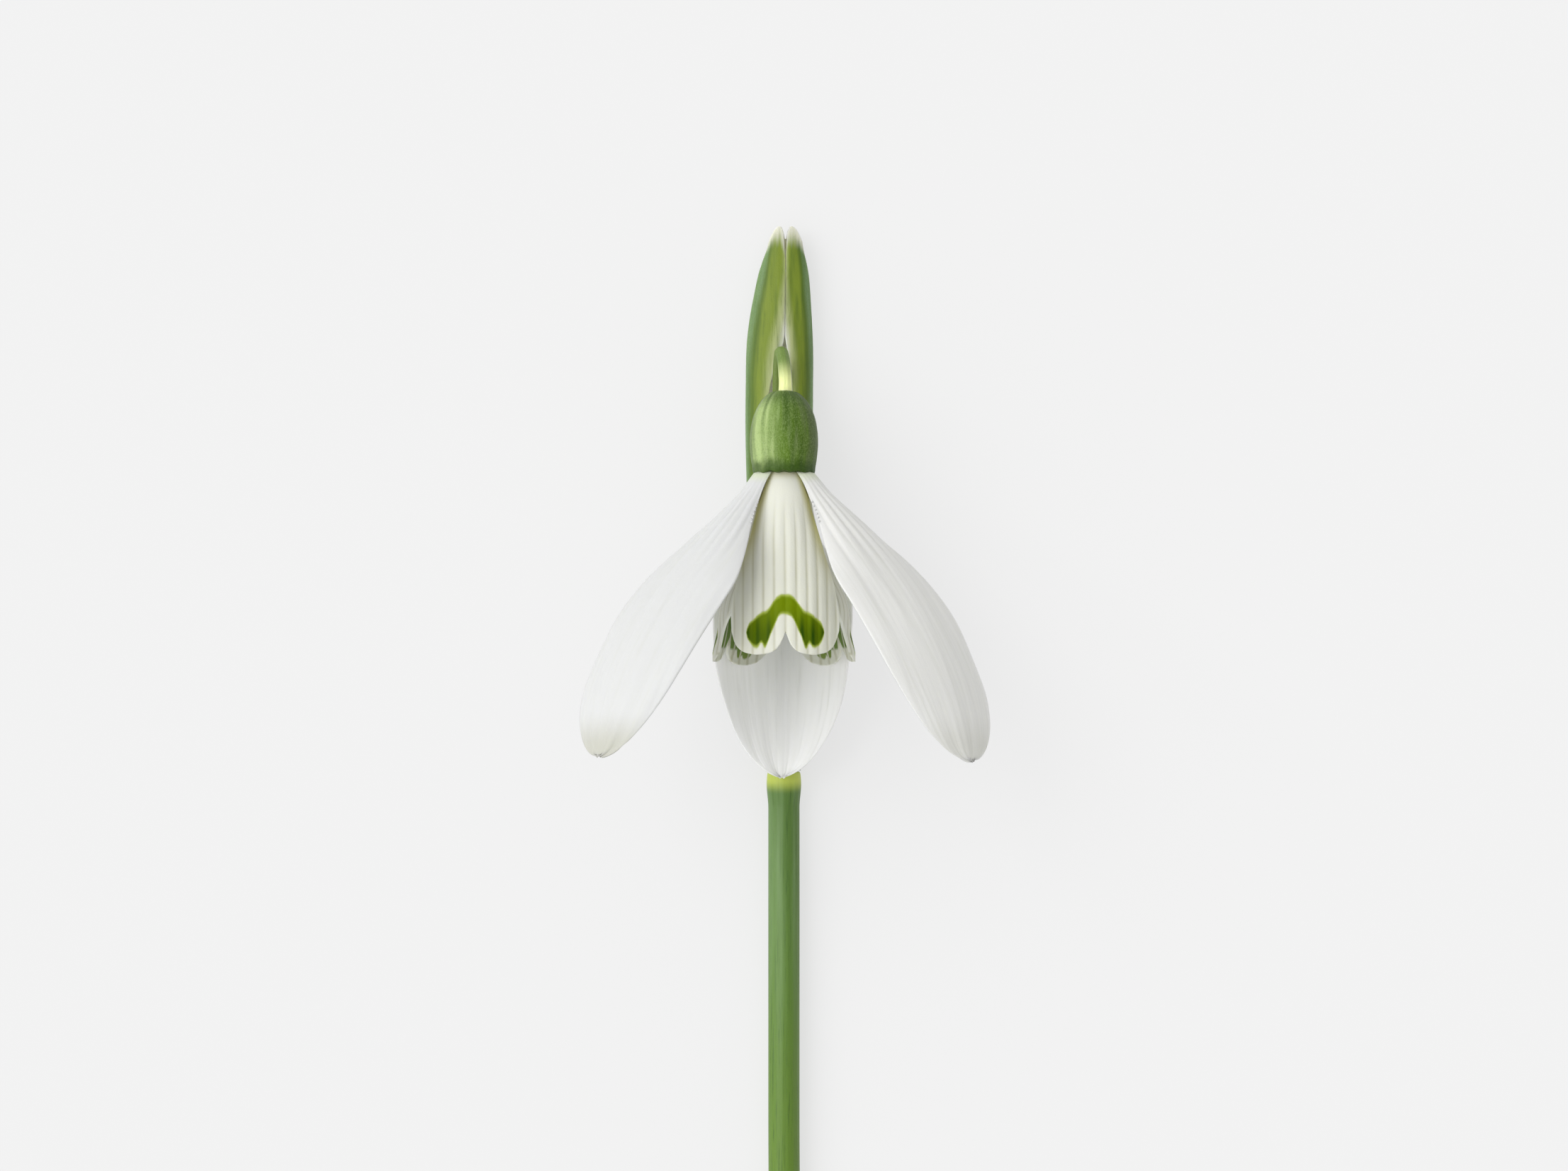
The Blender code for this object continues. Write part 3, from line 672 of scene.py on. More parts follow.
@dataclass(frozen=True)
class FlowerStalkFinish:
    """Thin stalk: darker green where it rises, lime where it comes down to the ovary."""

    name: str = "stalk_green"
    rising: Colour = tint(98, 118, 44)
    arch: Colour = tint(98, 124, 48)
    lime: Colour = tint(234, 240, 168)
    turn_at: float = 32.4
    lime_at: float = 34.4

    def material(self) -> bpy.types.Material:
        """Build the material."""
        s = Shading(self.name)
        along, skin = s.read("along"), s.read("skin", "Vector")
        fine = s.noise(s.stretched(skin, (1.0, 1.0, 0.12)), 8.0, 3.0, 0.6)
        colour = s.mix(s.rise(along, self.turn_at - 4.0, self.turn_at), self.rising, self.arch)
        colour = s.mix(s.rise(along, self.turn_at, self.lime_at), colour, self.lime)
        colour = s.mix(s.math("MULTIPLY", s.rise(fine, 0.5, 0.75), 0.4), colour, self.arch)
        speck = s.noise(skin, 26.0, 1.0)
        colour = s.mix(s.math("MULTIPLY", s.rise(speck, 0.6, 0.72), 0.3), colour, self.lime)
        s.bump(s.math("ADD", fine, speck), 0.02, 0.5)
        return s.close(
            colour, s.math("ADD", 0.36, s.math("MULTIPLY", fine, 0.2)), Subsurface_Weight=0.25,
            Subsurface_Scale=0.0006, Subsurface_Radius=(0.9, 1.0, 0.3), Specular_IOR_Level=0.45,
        )


@dataclass(frozen=True)
class OvaryFinish:
    """Ovary: mid green with broken pale and dark streaks, fine specks, a bright rim at its base, pale bloom down its
    lit left side that is partly real bloom and partly painted highlight, and painted shade down its right side.
    """

    name: str = "ovary_green"
    green: Colour = tint(86, 116, 24)
    dark: Colour = tint(46, 74, 2)
    pale: Colour = tint(158, 180, 118)
    # Pale bloom for the lit left side: partly real bloom, partly painted highlight.
    bloom: Colour = tint(176, 196, 132)
    # Painted shade: darker green for the side away from the light.
    painted_shade_green: Colour = tint(64, 78, 34)
    rim: Colour = tint(42, 70, 0)
    height: float = 5.85

    def material(self) -> bpy.types.Material:
        """Build the material."""
        s = Shading(self.name)
        skin = s.read("skin", "Vector")
        height = s.add("ShaderNodeSeparateXYZ", {0: skin}).outputs[2]
        streaks = s.noise(s.stretched(skin, (1.0, 1.0, 0.14)), 2.2, 2.0, 0.45)
        broad = s.noise(s.stretched(skin, (1.0, 1.0, 0.1)), 1.0, 1.0)
        colour = s.mix(s.math("MULTIPLY", s.rise(streaks, 0.42, 0.75), 0.5), self.green, self.pale)
        # x runs across the model from left to right: pale bloom, partly painted highlight, goes on the lit left side,
        # and painted shade on the right.
        across = s.add("ShaderNodeSeparateXYZ", {0: skin}).outputs[0]
        across = s.math("ADD", across, s.math("MULTIPLY", s.math("SUBTRACT", streaks, 0.5), 3.4))
        colour = s.mix(s.math("MULTIPLY", s.rise(across, -0.1, -2.3), 0.85), colour, self.bloom)
        colour = s.mix(s.math("MULTIPLY", s.rise(broad, 0.46, 0.66), 0.7), colour, self.dark)
        # Painted shade down the right side, away from the light.
        colour = s.mix(s.math("MULTIPLY", s.rise(across, 0.4, 2.4), 0.75), colour, self.painted_shade_green)
        colour = s.mix(s.math("MULTIPLY", s.rise(height, 4.3, 5.5), 0.6), colour, self.dark)
        speck = s.noise(s.stretched(skin, (1.0, 1.0, 0.7)), 11.0, 3.0, 0.75)
        colour = s.mix(s.math("MULTIPLY", s.rise(speck, 0.45, 0.72), 0.34), colour, self.pale)
        colour = s.mix(s.math("MULTIPLY", s.rise(speck, 0.5, 0.3), 0.4), colour, self.dark)
        wavy = s.math("ADD", height, s.math("MULTIPLY", s.noise(skin, 1.5, 2.0), 0.7))
        colour = s.mix(s.math("MULTIPLY", s.rise(wavy, 1.35, 0.5), 0.8), colour, self.rim)
        s.bump(s.math("ADD", speck, s.math("MULTIPLY", streaks, 0.7)), 0.05, 0.7)
        rough = s.math("ADD", 0.36, s.math("MULTIPLY", speck, 0.22))
        return s.close(
            colour, rough, Subsurface_Weight=0.1, Subsurface_Scale=0.0005, Subsurface_Radius=(0.9, 1.0, 0.3),
            Specular_IOR_Level=0.2,
        )


@dataclass(frozen=True)
class AntherFinish:
    """Stamen: a whitish filament below a grainy orange-yellow anther."""

    name: str = "anther_orange"
    filament: Colour = tint(226, 226, 196)
    orange: Colour = tint(226, 156, 44)
    grain: Colour = tint(244, 196, 84)
    seam: Colour = tint(176, 112, 30)
    anther_from: float = 1.0

    def material(self) -> bpy.types.Material:
        """Build the material."""
        s = Shading(self.name)
        skin = s.read("skin", "Vector")
        parts = s.add("ShaderNodeSeparateXYZ", {0: skin})
        pollen = s.noise(skin, 26.0, 2.0, 0.7)
        colour = s.mix(s.rise(pollen, 0.4, 0.65), self.orange, self.grain)
        groove = s.rise(s.math("ABSOLUTE", parts.outputs[0]), 0.3, 0.05)
        colour = s.mix(s.math("MULTIPLY", groove, 0.8), colour, self.seam)
        colour = s.mix(s.rise(parts.outputs[2], self.anther_from + 0.15, self.anther_from - 0.15), colour, self.filament)
        s.bump(pollen, 0.03, 0.8)
        return s.close(colour, 0.62, Subsurface_Weight=0.1, Subsurface_Scale=0.0004)


@dataclass(frozen=True)
class StyleFinish:
    """Style: pale green, whiter towards its tip."""

    name: str = "style_green"
    foot: Colour = tint(176, 200, 112)
    top: Colour = tint(232, 234, 206)

    def material(self) -> bpy.types.Material:
        """Build the material."""
        s = Shading(self.name)
        skin = s.read("skin", "Vector")
        height = s.add("ShaderNodeSeparateXYZ", {0: skin}).outputs[2]
        fine = s.noise(s.stretched(skin, (1.0, 1.0, 0.2)), 14.0, 2.0)
        colour = s.mix(s.rise(height, 1.0, 7.0), self.foot, self.top)
        colour = s.mix(s.math("MULTIPLY", s.rise(fine, 0.5, 0.7), 0.3), colour, self.foot)
        s.bump(fine, 0.015, 0.5)
        return s.close(colour, 0.42, Subsurface_Weight=0.25, Subsurface_Scale=0.0004)


# ---------------------------------------------------------------- surfaces


@dataclass
class Surface:
    """A grid of points, rows by columns by 3, with the values that its recipe and finish read."""

    points: np.ndarray
    values: dict[str, np.ndarray]
    wraps: bool = False
    first_pole: bool = False
    last_pole: bool = False

    def base(self, name: str, place: Matrix) -> bpy.types.Object:
        """Make the base object for a recipe.

        Args:
            name: Its name.
            place: From the grid's own millimetres, made metres, to the model.

        Returns:
            A mesh object at the origin, its faces turned to the side from which columns run to the left.
        """
        rows, columns, _ = self.points.shape
        index = np.arange(rows * columns).reshape(rows, columns)
        if self.first_pole:
            index[0, :] = index[0, 0]
        if self.last_pole:
            index[-1, :] = index[-1, 0]
        used = np.unique(index)
        index = np.searchsorted(used, index)
        right = np.roll(index, -1, axis=1) if self.wraps else index[:, 1:]
        left = index if self.wraps else index[:, :-1]
        corners = np.stack([left[:-1], left[1:], right[1:], right[:-1]], -1).reshape(-1, 4)
        faces = [tuple(dict.fromkeys(face)) for face in corners.tolist()]
        turn = np.array(place, float)
        points = (self.points.reshape(-1, 3)[used] * MM) @ turn[:3, :3].T + turn[:3, 3]
        mesh = bpy.data.meshes.new(name)
        mesh.from_pydata(points.tolist(), [], faces)
        for key, value in self.values.items():
            flat = np.asarray(value, np.float32).reshape(rows * columns, -1)[used]
            kind = ("FLOAT", "value") if flat.shape[1] == 1 else ("FLOAT_VECTOR", "vector")
            mesh.attributes.new(key, kind[0], "POINT").data.foreach_set(kind[1], flat.ravel())
        base = bpy.data.objects.new(name, mesh)
        bpy.context.scene.collection.objects.link(base)
        return base


def line_base(name: str, points: np.ndarray, values: dict[str, np.ndarray]) -> bpy.types.Object:
    """Make a line of points as the base object for a recipe.

    Args:
        name: Its name.
        points: The points, in metres, in the model's own frame.
        values: Attributes of the points.

    Returns:
        A mesh object of edges.
    """
    mesh = bpy.data.meshes.new(name)
    mesh.from_pydata(points.tolist(), [(i, i + 1) for i in range(len(points) - 1)], [])
    for key, value in values.items():
        flat = np.asarray(value, np.float32).reshape(len(points), -1)
        kind = ("FLOAT", "value") if flat.shape[1] == 1 else ("FLOAT_VECTOR", "vector")
        mesh.attributes.new(key, kind[0], "POINT").data.foreach_set(kind[1], flat.ravel())
    base = bpy.data.objects.new(name, mesh)
    bpy.context.scene.collection.objects.link(base)
    return base


def seat(piece: bpy.types.Object, slot: str, *nodes: str) -> None:
    """Let a finished piece ride on the plant and stand for its nodes."""
    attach(piece, BODY)
    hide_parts(*nodes)
    LOG.info("%s: %d faces, stands for %s", piece.name, len(piece.data.polygons), ", ".join(nodes))


@dataclass(frozen=True)
class Datum:
    """Where the plant's own measures start: the middle of the flower, the top of the stem, the table."""

    x: float
    y: float
    z: float

    @classmethod
    def read(cls) -> "Datum":
        """Find the datum from the model's nodes."""
        low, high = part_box("ovary")
        return cls((low.x + high.x) / 2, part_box("scape")[1].y, CAD_BOX[0].z)

    def place(self) -> Matrix:
        """Give the transform from the plant's own metres to the model."""
        return Matrix.Translation((self.x, self.y, self.z))

    def flower(self, base: tuple[float, float, float], tilt: float) -> Matrix:
        """Give the transform of the flower, whose +Z points out of its mouth and +Y is its front."""
        at = Vector(base) * MM
        return self.place() @ Matrix.Translation(at) @ Matrix.Rotation(math.radians(90 - tilt), 4, "X")


class Face(Enum):
    """Which skin of a folded sheet a point lies on."""

    OUTER = 0.0
    INNER = 1.0


# ---------------------------------------------------------------- stem, sheath and stalk


@dataclass
class Scape:
    """The stem, flat on the table, with a slight swelling below its top."""

    length: float = 60.0
    radius: float = 1.12
    collar_radius: float = 1.24
    collar_at: float = 0.9
    collar_length: float = 2.6
    sway: float = 0.9
    rounding: float = 0.16

    def build(self, datum: Datum, recipe: GeometryRecipe) -> bpy.types.Object:
        """Build the stem.

        Args:
            datum: Where the plant stands.
            recipe: The stalk tree.

        Returns:
            The piece.
        """
        y = -np.concatenate([np.linspace(0, 4, 41), np.linspace(4.3, self.length, 150)])
        swell = 1 - smoothstep(np.abs(y + self.collar_at) / (self.collar_length - self.collar_at))
        girth = self.radius + (self.collar_radius - self.radius) * swell
        axis = np.where(y > -self.collar_at, self.collar_radius, girth)
        x = self.sway * np.clip((-y - 0.4 * self.length) / (0.6 * self.length), 0, 1) ** 2
        ends = np.minimum(-y, y + self.length) / self.rounding
        girth = girth * np.sqrt(np.clip(1 - 0.12 * (1 - np.clip(ends, 0, 1)) ** 2, 0, 1))
        points = (np.array(datum.place())[:3, 3] + np.stack([x, y, axis], 1) * MM)
        base = line_base("stem_line", points, {"girth": girth})
        piece = recipe.apply(base, "stem", StemFinish(length=self.length).material(), Sides=56, Ridges=17.0, Ridge_Height=0.012)
        seat(piece, "stem_green", "scape")
        return piece


@dataclass
class Spathe:
    """The bract sheath: an oval tube on two keels, slit along its front, with two rounded tips."""

    length: float = 39.1
    gap: float = 0.1
    wall: float = 0.26
    half_width: Keys = (
        (0, 1.2), (4, 1.34), (12, 1.95), (20, 2.34), (27, 2.42), (31, 2.36), (34.3, 2.02), (37, 1.6), (39.1, 1.22),
    )
    half_depth: Keys = ((0, 1.2), (4, 1.3), (14, 1.45), (26, 1.45), (32, 1.2), (36, 0.8), (39.1, 0.45))
    sway: Keys = ((0, 0.0), (12, -0.2), (27, -0.34), (32, -0.26), (36, -0.02), (39.1, 0.1))
    slit: Keys = (
        (0, 0.07), (3, 0.1), (8, 0.55), (14, 0.85), (27, 0.85), (28.8, 0.6), (30.0, 0.26), (31.2, 0.02), (32.2, -0.02),
        (35.0, -0.02), (36.4, 0.012), (37.8, 0.03), (39.1, 0.12),
    )
    slit_sway: Keys = ((0, 0.0), (27, 0.1), (30.4, 0.34), (34.7, 0.2), (39.1, 0.0))
    notch: float = 1.15
    tip_from: float = 0.9
    tip_rise: float = 1.1
    rise_from: float = 29.0
    keel_at: float = 0.62
    keel_rise: Keys = ((0, 0.0), (8, 0.14), (20, 0.2), (24, 0.7), (27, 1.25), (29.5, 1.6), (31.5, 1.5), (34, 1.1), (37, 0.5), (39.1, 0.2))
    rows: int = 240
    half_columns: int = 56
    rim: int = 4

    def skin(self, y: np.ndarray, turn: np.ndarray, inset: float) -> tuple[np.ndarray, np.ndarray]:
        """Give points of one skin.

        Args:
            y: Heights along the sheath.
            turn: Places round its section, from -1 at one slit edge through 0 at the back to 1.
            inset: How far inside the outer skin.

        Returns:
            The points, and how far across each one lies, from -1 to 1.
        """
        width = eased(y, self.half_width) - inset
        full_depth = eased(y, self.half_depth)
        depth = full_depth - inset
        side = np.sign(turn)
        edge = eased(y, self.slit_sway) + eased(y, self.slit) * side
        start = np.arcsin(np.minimum(np.abs(edge) / width, 1.0)) * np.sign(edge * side)
        angle = start + (math.pi - start) * (1 - np.abs(turn))
        x = width * np.sin(angle) * side
        front = depth * np.cos(angle)
        share = np.abs(x) / width
        beyond = np.clip((share - self.keel_at) / (1 - self.keel_at), 0, 1)
        between = np.clip(1 - (share / self.keel_at) ** 2, 0, 1)
        back = eased(y, self.keel_rise) * between - depth * np.sqrt(1 - beyond**2)
        z = np.where(front < 0, back, front)
        rise = self.tip_rise * np.clip((y - self.rise_from) / (self.length - self.rise_from), 0, 1) ** 2
        lobe = np.clip(1 - share / 0.36, 0, 1) ** 2 * self.notch + np.clip((share - 0.36) / 0.64, 0, 1) ** 2 * 1.1
        top = y - lobe * smoothstep((y / self.length - self.tip_from) / (1 - self.tip_from))
        points = np.stack([eased(y, self.sway) + x, top + self.gap, z + full_depth + rise], -1)
        seam = eased(y, self.slit_sway)
        return points, (x - seam) / (width - seam * np.sign(x - seam))

    def build(self, datum: Datum, recipe: GeometryRecipe) -> bpy.types.Object:
        """Build the sheath as one closed wall that runs round both skins.

        Args:
            datum: Where the plant stands.
            recipe: The skin tree.

        Returns:
            The piece.
        """
        y = self.length * (1 - (1 - np.linspace(0, 1, self.rows)) ** 1.35)[:, None]
        half = -(1 - np.linspace(0, 1, self.half_columns) ** 1.2 * 0.985)
        turns = np.concatenate([half, -half[::-1]])[None, :]
        outer, across = self.skin(y, turns, 0.0)
        inner, inner_across = self.skin(y, turns, self.wall)
        points = np.concatenate([outer, inner[:, ::-1]], 1)
        shares = np.concatenate([across, inner_across[:, ::-1]], 1)
        inside = np.zeros(shares.shape)
        inside[:, turns.shape[1]:] = Face.INNER.value
        values = {
            "across": shares, "along": np.broadcast_to(y, shares.shape), "inside": inside,
            "skin": np.stack([points[..., 0], points[..., 2], points[..., 1]], -1),
        }
        base = Surface(points, values, wraps=True).base("sheath_base", datum.place())
        self.close_ends(base.data, y.shape[0], turns.shape[1])
        piece = recipe.apply(
            base, "bract_sheath", SheathFinish(length=self.length).material(),
            Ridge_Height=0.07, Ridge_Density=3.2, Stretch=0.03, Grain_Height=0.012, Grain_Density=18.0, Seed=3.0,
        )
        seat(piece, "sheath_green", "spathe")
        return piece

    @staticmethod
    def close_ends(mesh: bpy.types.Mesh, rows: int, count: int) -> None:
        """Join the two skins at both ends of the sheath with strips of faces.

        Args:
            mesh: The wall, whose rows each run over the outer skin and back over the inner one.
            rows: How many rows it has.
            count: How many points one skin has in a row.
        """
        shape = bmesh.new()
        shape.from_mesh(mesh)
        shape.verts.ensure_lookup_table()
        for row in (0, rows - 1):
            first = row * 2 * count
            for i in range(count - 1):
                ring = (first + i, first + i + 1, first + 2 * count - 2 - i, first + 2 * count - 1 - i)
                shape.faces.new([shape.verts[k] for k in ring])
        bmesh.ops.recalc_face_normals(shape, faces=shape.faces[:])
        shape.to_mesh(mesh)
        shape.free()


@dataclass
class Pedicel:
    """The thin stalk that runs up inside the sheath, arches over and comes down to the ovary."""

    radius: float = 0.45
    route: tuple[tuple[float, float, float], ...] = (
        (0.0, 0.12, 1.4), (0.0, 7.0, 1.42), (-0.18, 14.0, 1.45), (-0.3, 20.0, 1.5), (-0.36, 23.6, 1.8),
        (-0.38, 26.3, 2.45), (-0.36, 28.6, 3.35), (-0.27, 29.8, 4.4), (-0.14, 29.87, 5.45),
        (0.0, 29.1, 6.35), (0.09, 28.0, 6.74), (0.1, 26.98, 6.88),
    )
    steps: int = 170

    def build(self, datum: Datum, recipe: GeometryRecipe) -> bpy.types.Object:
        """Build the stalk.

        Args:
            datum: Where the plant stands.
            recipe: The stalk tree.

        Returns:
            The piece.
        """
        at = np.linspace(0, len(self.route) - 1, self.steps)
        axes = [eased(at, tuple((i, point[axis]) for i, point in enumerate(self.route))) for axis in range(3)]
        points = np.array(datum.place())[:3, 3] + np.stack(axes, 1) * MM
        girth = np.full(self.steps, self.radius) * (1 + 0.06 * smoothstep((at - 10.2) / 0.8))
        base = line_base("stalk_line", points, {"girth": girth})
        piece = recipe.apply(base, "flower_stalk", FlowerStalkFinish().material(), Sides=40, Ridges=9.0, Ridge_Height=0.012)
        seat(piece, "stalk_green", "pedicel")
        return piece


# ---------------------------------------------------------------- flower


@dataclass
class TurnedBody:
    """A body turned about local Z from (radius, height) keys, with a section that may be lobed."""

    name: str
    profile: Keys
    columns: int = 96
    rows: int = 90
    lobes: float = 0.0
    lobe_depth: float = 0.0

    def surface(self) -> Surface:
        """Give the body's grid, with its poles closed and its skin values."""
        radius, height = np.array(self.profile, float).T
        walked = np.concatenate([[0], np.cumsum(np.hypot(np.diff(radius), np.diff(height)))])
        at = np.linspace(0, walked[-1], self.rows)
        keyed = list(zip(walked, radius)), list(zip(walked, height))
        r = np.clip(eased(at, tuple(keyed[0])), 0, None)[:, None]
        h = eased(at, tuple(keyed[1]))[:, None]
        turn = np.linspace(0, 2 * math.pi, self.columns, endpoint=False)[None, :]
        reach = r * (1 - self.lobe_depth * (0.5 + 0.5 * np.cos(self.lobes * turn)))
        points = np.stack([reach * np.cos(turn), reach * np.sin(turn), np.broadcast_to(h, (self.rows, self.columns))], -1)
        wide = float(radius.max())
        skin = np.stack([np.broadcast_to(np.cos(turn) * wide, points.shape[:2]), np.broadcast_to(np.sin(turn) * wide, points.shape[:2]), points[..., 2]], -1)
        return Surface(points, {"skin": skin}, wraps=True, first_pole=True, last_pole=True)


@dataclass
class Ovary:
    """The egg-shaped ovary above the petals. Its heights run from the petals' base to the stalk."""

    profile: Keys = (
        (0.0, 5.85), (0.55, 5.84), (0.95, 5.74), (1.4, 5.4), (1.8, 4.85), (2.12, 4.15), (2.34, 3.2),
        (2.41, 2.2), (2.33, 1.1), (2.22, 0.3), (2.18, 0.0), (2.1, -0.12), (1.95, -0.14), (0.0, 0.3),
    )
    scallops: int = 12
    scallop_depth: float = 0.12

    def build(self, place: Matrix, recipe: GeometryRecipe) -> bpy.types.Object:
        """Build the ovary.

        Args:
            place: The flower's transform.
            recipe: The skin tree.

        Returns:
            The piece.
        """
        surface = TurnedBody("ovary_base", self.profile, columns=144, rows=130).surface()
        x, y, z = surface.points.transpose(2, 0, 1)
        waves = 0.5 + 0.5 * np.cos(self.scallops * np.arctan2(x, y))
        z += self.scallop_depth * waves * smoothstep(1 - z / 1.2) * smoothstep((np.hypot(x, y) - 1.2) / 0.6)
        base = surface.base("ovary_base", place @ Matrix.Rotation(math.pi, 4, "X"))
        piece = recipe.apply(
            base, "ovary_body", OvaryFinish().material(),
            Ridge_Height=0.09, Ridge_Density=1.8, Stretch=0.12, Grain_Height=0.02, Grain_Density=9.0, Seed=1.0,
        )
        seat(piece, "ovary_green", "ovary")
        return piece


@dataclass
class OuterTepal:
    """A spread outer petal: a narrow claw, a spoon-shaped blade and a blunt tip.

    Angles are in degrees from the flower's axis, outwards, and change over the petal's length.
    """

    side_name: str
    turn: float
    length: float
    start: float
    bend: float
    bend_squared: float
    curl: float
    lean: float
    lean_change: float
    tip_sway: float
    shoulder_sway: float
    side: float
    fullness: float
    roundness: float
    finish: OuterPetalFinish
    teeth: float = 0.0
    base_radius: float = 2.12
    top: float = 0.1
    half_width: float = 5.3
    claw_share: float = 0.225
    widest_at: float = 0.42
    claw_curl: float = 58.0
    sunk: float = 0.12
    sunk_share: float = 0.09
    wall: float = 0.3
    veins: float = 11.0
    seed: float = 0.0
    rows: int = 150
    columns: int = 81

    def midrib(self, s: np.ndarray) -> tuple[np.ndarray, np.ndarray, np.ndarray]:
        """Follow the midrib.

        Args:
            s: Places along it, from 0 to 1.

        Returns:
            Its distance from the axis, its height and its angle there.
        """
        fine = np.linspace(0, 1, 2001)
        angle = np.radians(self.start + self.bend * fine + self.bend_squared * fine**2)
        step = self.length / 2000
        out = self.base_radius - 0.06 + np.concatenate([[0], np.cumsum((np.sin(angle[1:]) + np.sin(angle[:-1])) / 2 * step)])
        down = self.top + np.concatenate([[0], np.cumsum((np.cos(angle[1:]) + np.cos(angle[:-1])) / 2 * step)])
        return np.interp(s, fine, out), np.interp(s, fine, down), np.interp(s, fine, angle)

    def outline(self, s: np.ndarray) -> np.ndarray:
        """Give the half width at places along the petal."""
        claw = self.claw_share + (1 - self.claw_share) * smoothstep(s / self.widest_at)
        beyond = np.clip((s - self.widest_at) / (1 - self.widest_at), 0, 1)
        blade = (1 - beyond**self.fullness) ** self.roundness
        return self.half_width * np.where(s < self.widest_at, claw, blade)

    def surface(self) -> Surface:
        """Give the petal's outer face as a grid."""
        k = np.linspace(0, 1, self.rows)
        s = (1 - (1 - k) ** 1.5)[:, None]
        w = np.linspace(-1, 1, self.columns)[None, :]
        out, down, angle = (value[:, None] if value.ndim == 1 else value for value in self.midrib(s))
        zero = np.zeros_like(angle)
        outwards = np.stack([zero, np.cos(angle), -np.sin(angle)], -1)
        across = np.array([1.0, 0.0, 0.0])
        tilt = (np.radians(self.lean + self.lean_change * s) * self.side)[..., None]
        sideways = across * np.cos(tilt) + outwards * np.sin(tilt)
        inwards = across * np.sin(tilt) - outwards * np.cos(tilt)
        sway = (self.tip_sway * s**2 + self.shoulder_sway * np.sin(2 * math.pi * s)) * self.side
        middle = np.stack([zero, out, down], -1) + sideways * sway[..., None]
        half = self.outline(s)
        curl = np.radians(self.claw_curl + (self.curl - self.claw_curl) * smoothstep(s / 0.45))
        reach = half * np.sin(curl * w) / curl
        depth = half * (1 - np.cos(curl * w)) / curl
        points = middle + sideways * reach[..., None] + inwards * depth[..., None]
        sunk = (self.sunk + depth * np.sin(angle)) * (1 - smoothstep(s / self.sunk_share))
        points[..., 2] -= sunk
        values = {
            "along": np.broadcast_to(s, reach.shape), "across": np.broadcast_to(w, reach.shape),
            "rib": np.broadcast_to(w * self.veins / 2, reach.shape) * (0.55 + 0.45 * half / self.half_width),
            "skin": np.stack([half * w, np.broadcast_to(s * self.length, reach.shape), np.zeros_like(reach)], -1),
        }
        return Surface(points, values, last_pole=True)

    def build(self, flower: Matrix, recipe: GeometryRecipe, papillae: GeometryRecipe) -> bpy.types.Object:
        """Build the petal, with teeth on its claw where it has them.

        Args:
            flower: The flower's transform.
            recipe: The petal tree.
            papillae: The tree for the teeth.

        Returns:
            The piece.
        """
        place = flower @ Matrix.Rotation(math.radians(-self.turn), 4, "Z")
        surface = self.surface()
        material = self.finish.material()
        name = f"petal_outer_{self.side_name}"
        piece = recipe.apply(
            surface.base(name, place), name, material, Rib_Height=0.1, Rib_Start=-0.05, Rib_End=0.42,
            Fold_Height=0.42, Fold_Density=0.6, Ripple_Height=0.06, Ripple_Waves=3.0, Wall=self.wall, Rim_Wall=0.14,
            Seed=self.seed,
        )
        if self.teeth:
            self.add_teeth(piece, surface, place, papillae, material)
        seat(piece, "outer_petal_white", f"outer_tepal_{self.side_name}")
        return piece

    def add_teeth(
        self, piece: bpy.types.Object, surface: Surface, place: Matrix, papillae: GeometryRecipe, material: bpy.types.Material
    ) -> None:
        """Set a row of small teeth on the claw's front margin and join it to the petal.

        Args:
            piece: The petal.
            surface: Its grid.
            place: From the grid to the model.
            papillae: The tree for the teeth.
            material: The petal's finish.
        """
        column = -1 if self.teeth > 0 else 0
        inner = -9 if self.teeth > 0 else 8
        rows = slice(9, 17)
        turn = np.array(place)
        edge = surface.points[rows, column] * MM @ turn[:3, :3].T + turn[:3, 3]
        within = surface.points[rows, inner] * MM @ turn[:3, :3].T + turn[:3, 3]
        lean = (edge - within) * 0.6 + np.array([0.0, 0.0, 1.0]) * MM
        lean /= np.linalg.norm(lean, axis=1, keepdims=True)
        line = line_base("teeth_line", edge * 0.88 + within * 0.12, {"lean": lean})
        teeth = papillae.apply(line, "teeth", material, Tooth_Length=0.24, Tooth_Width=0.15, Count=6, Seed=5)
        with bpy.context.temp_override(active_object=piece, selected_editable_objects=[piece, teeth]):
            bpy.ops.object.join()


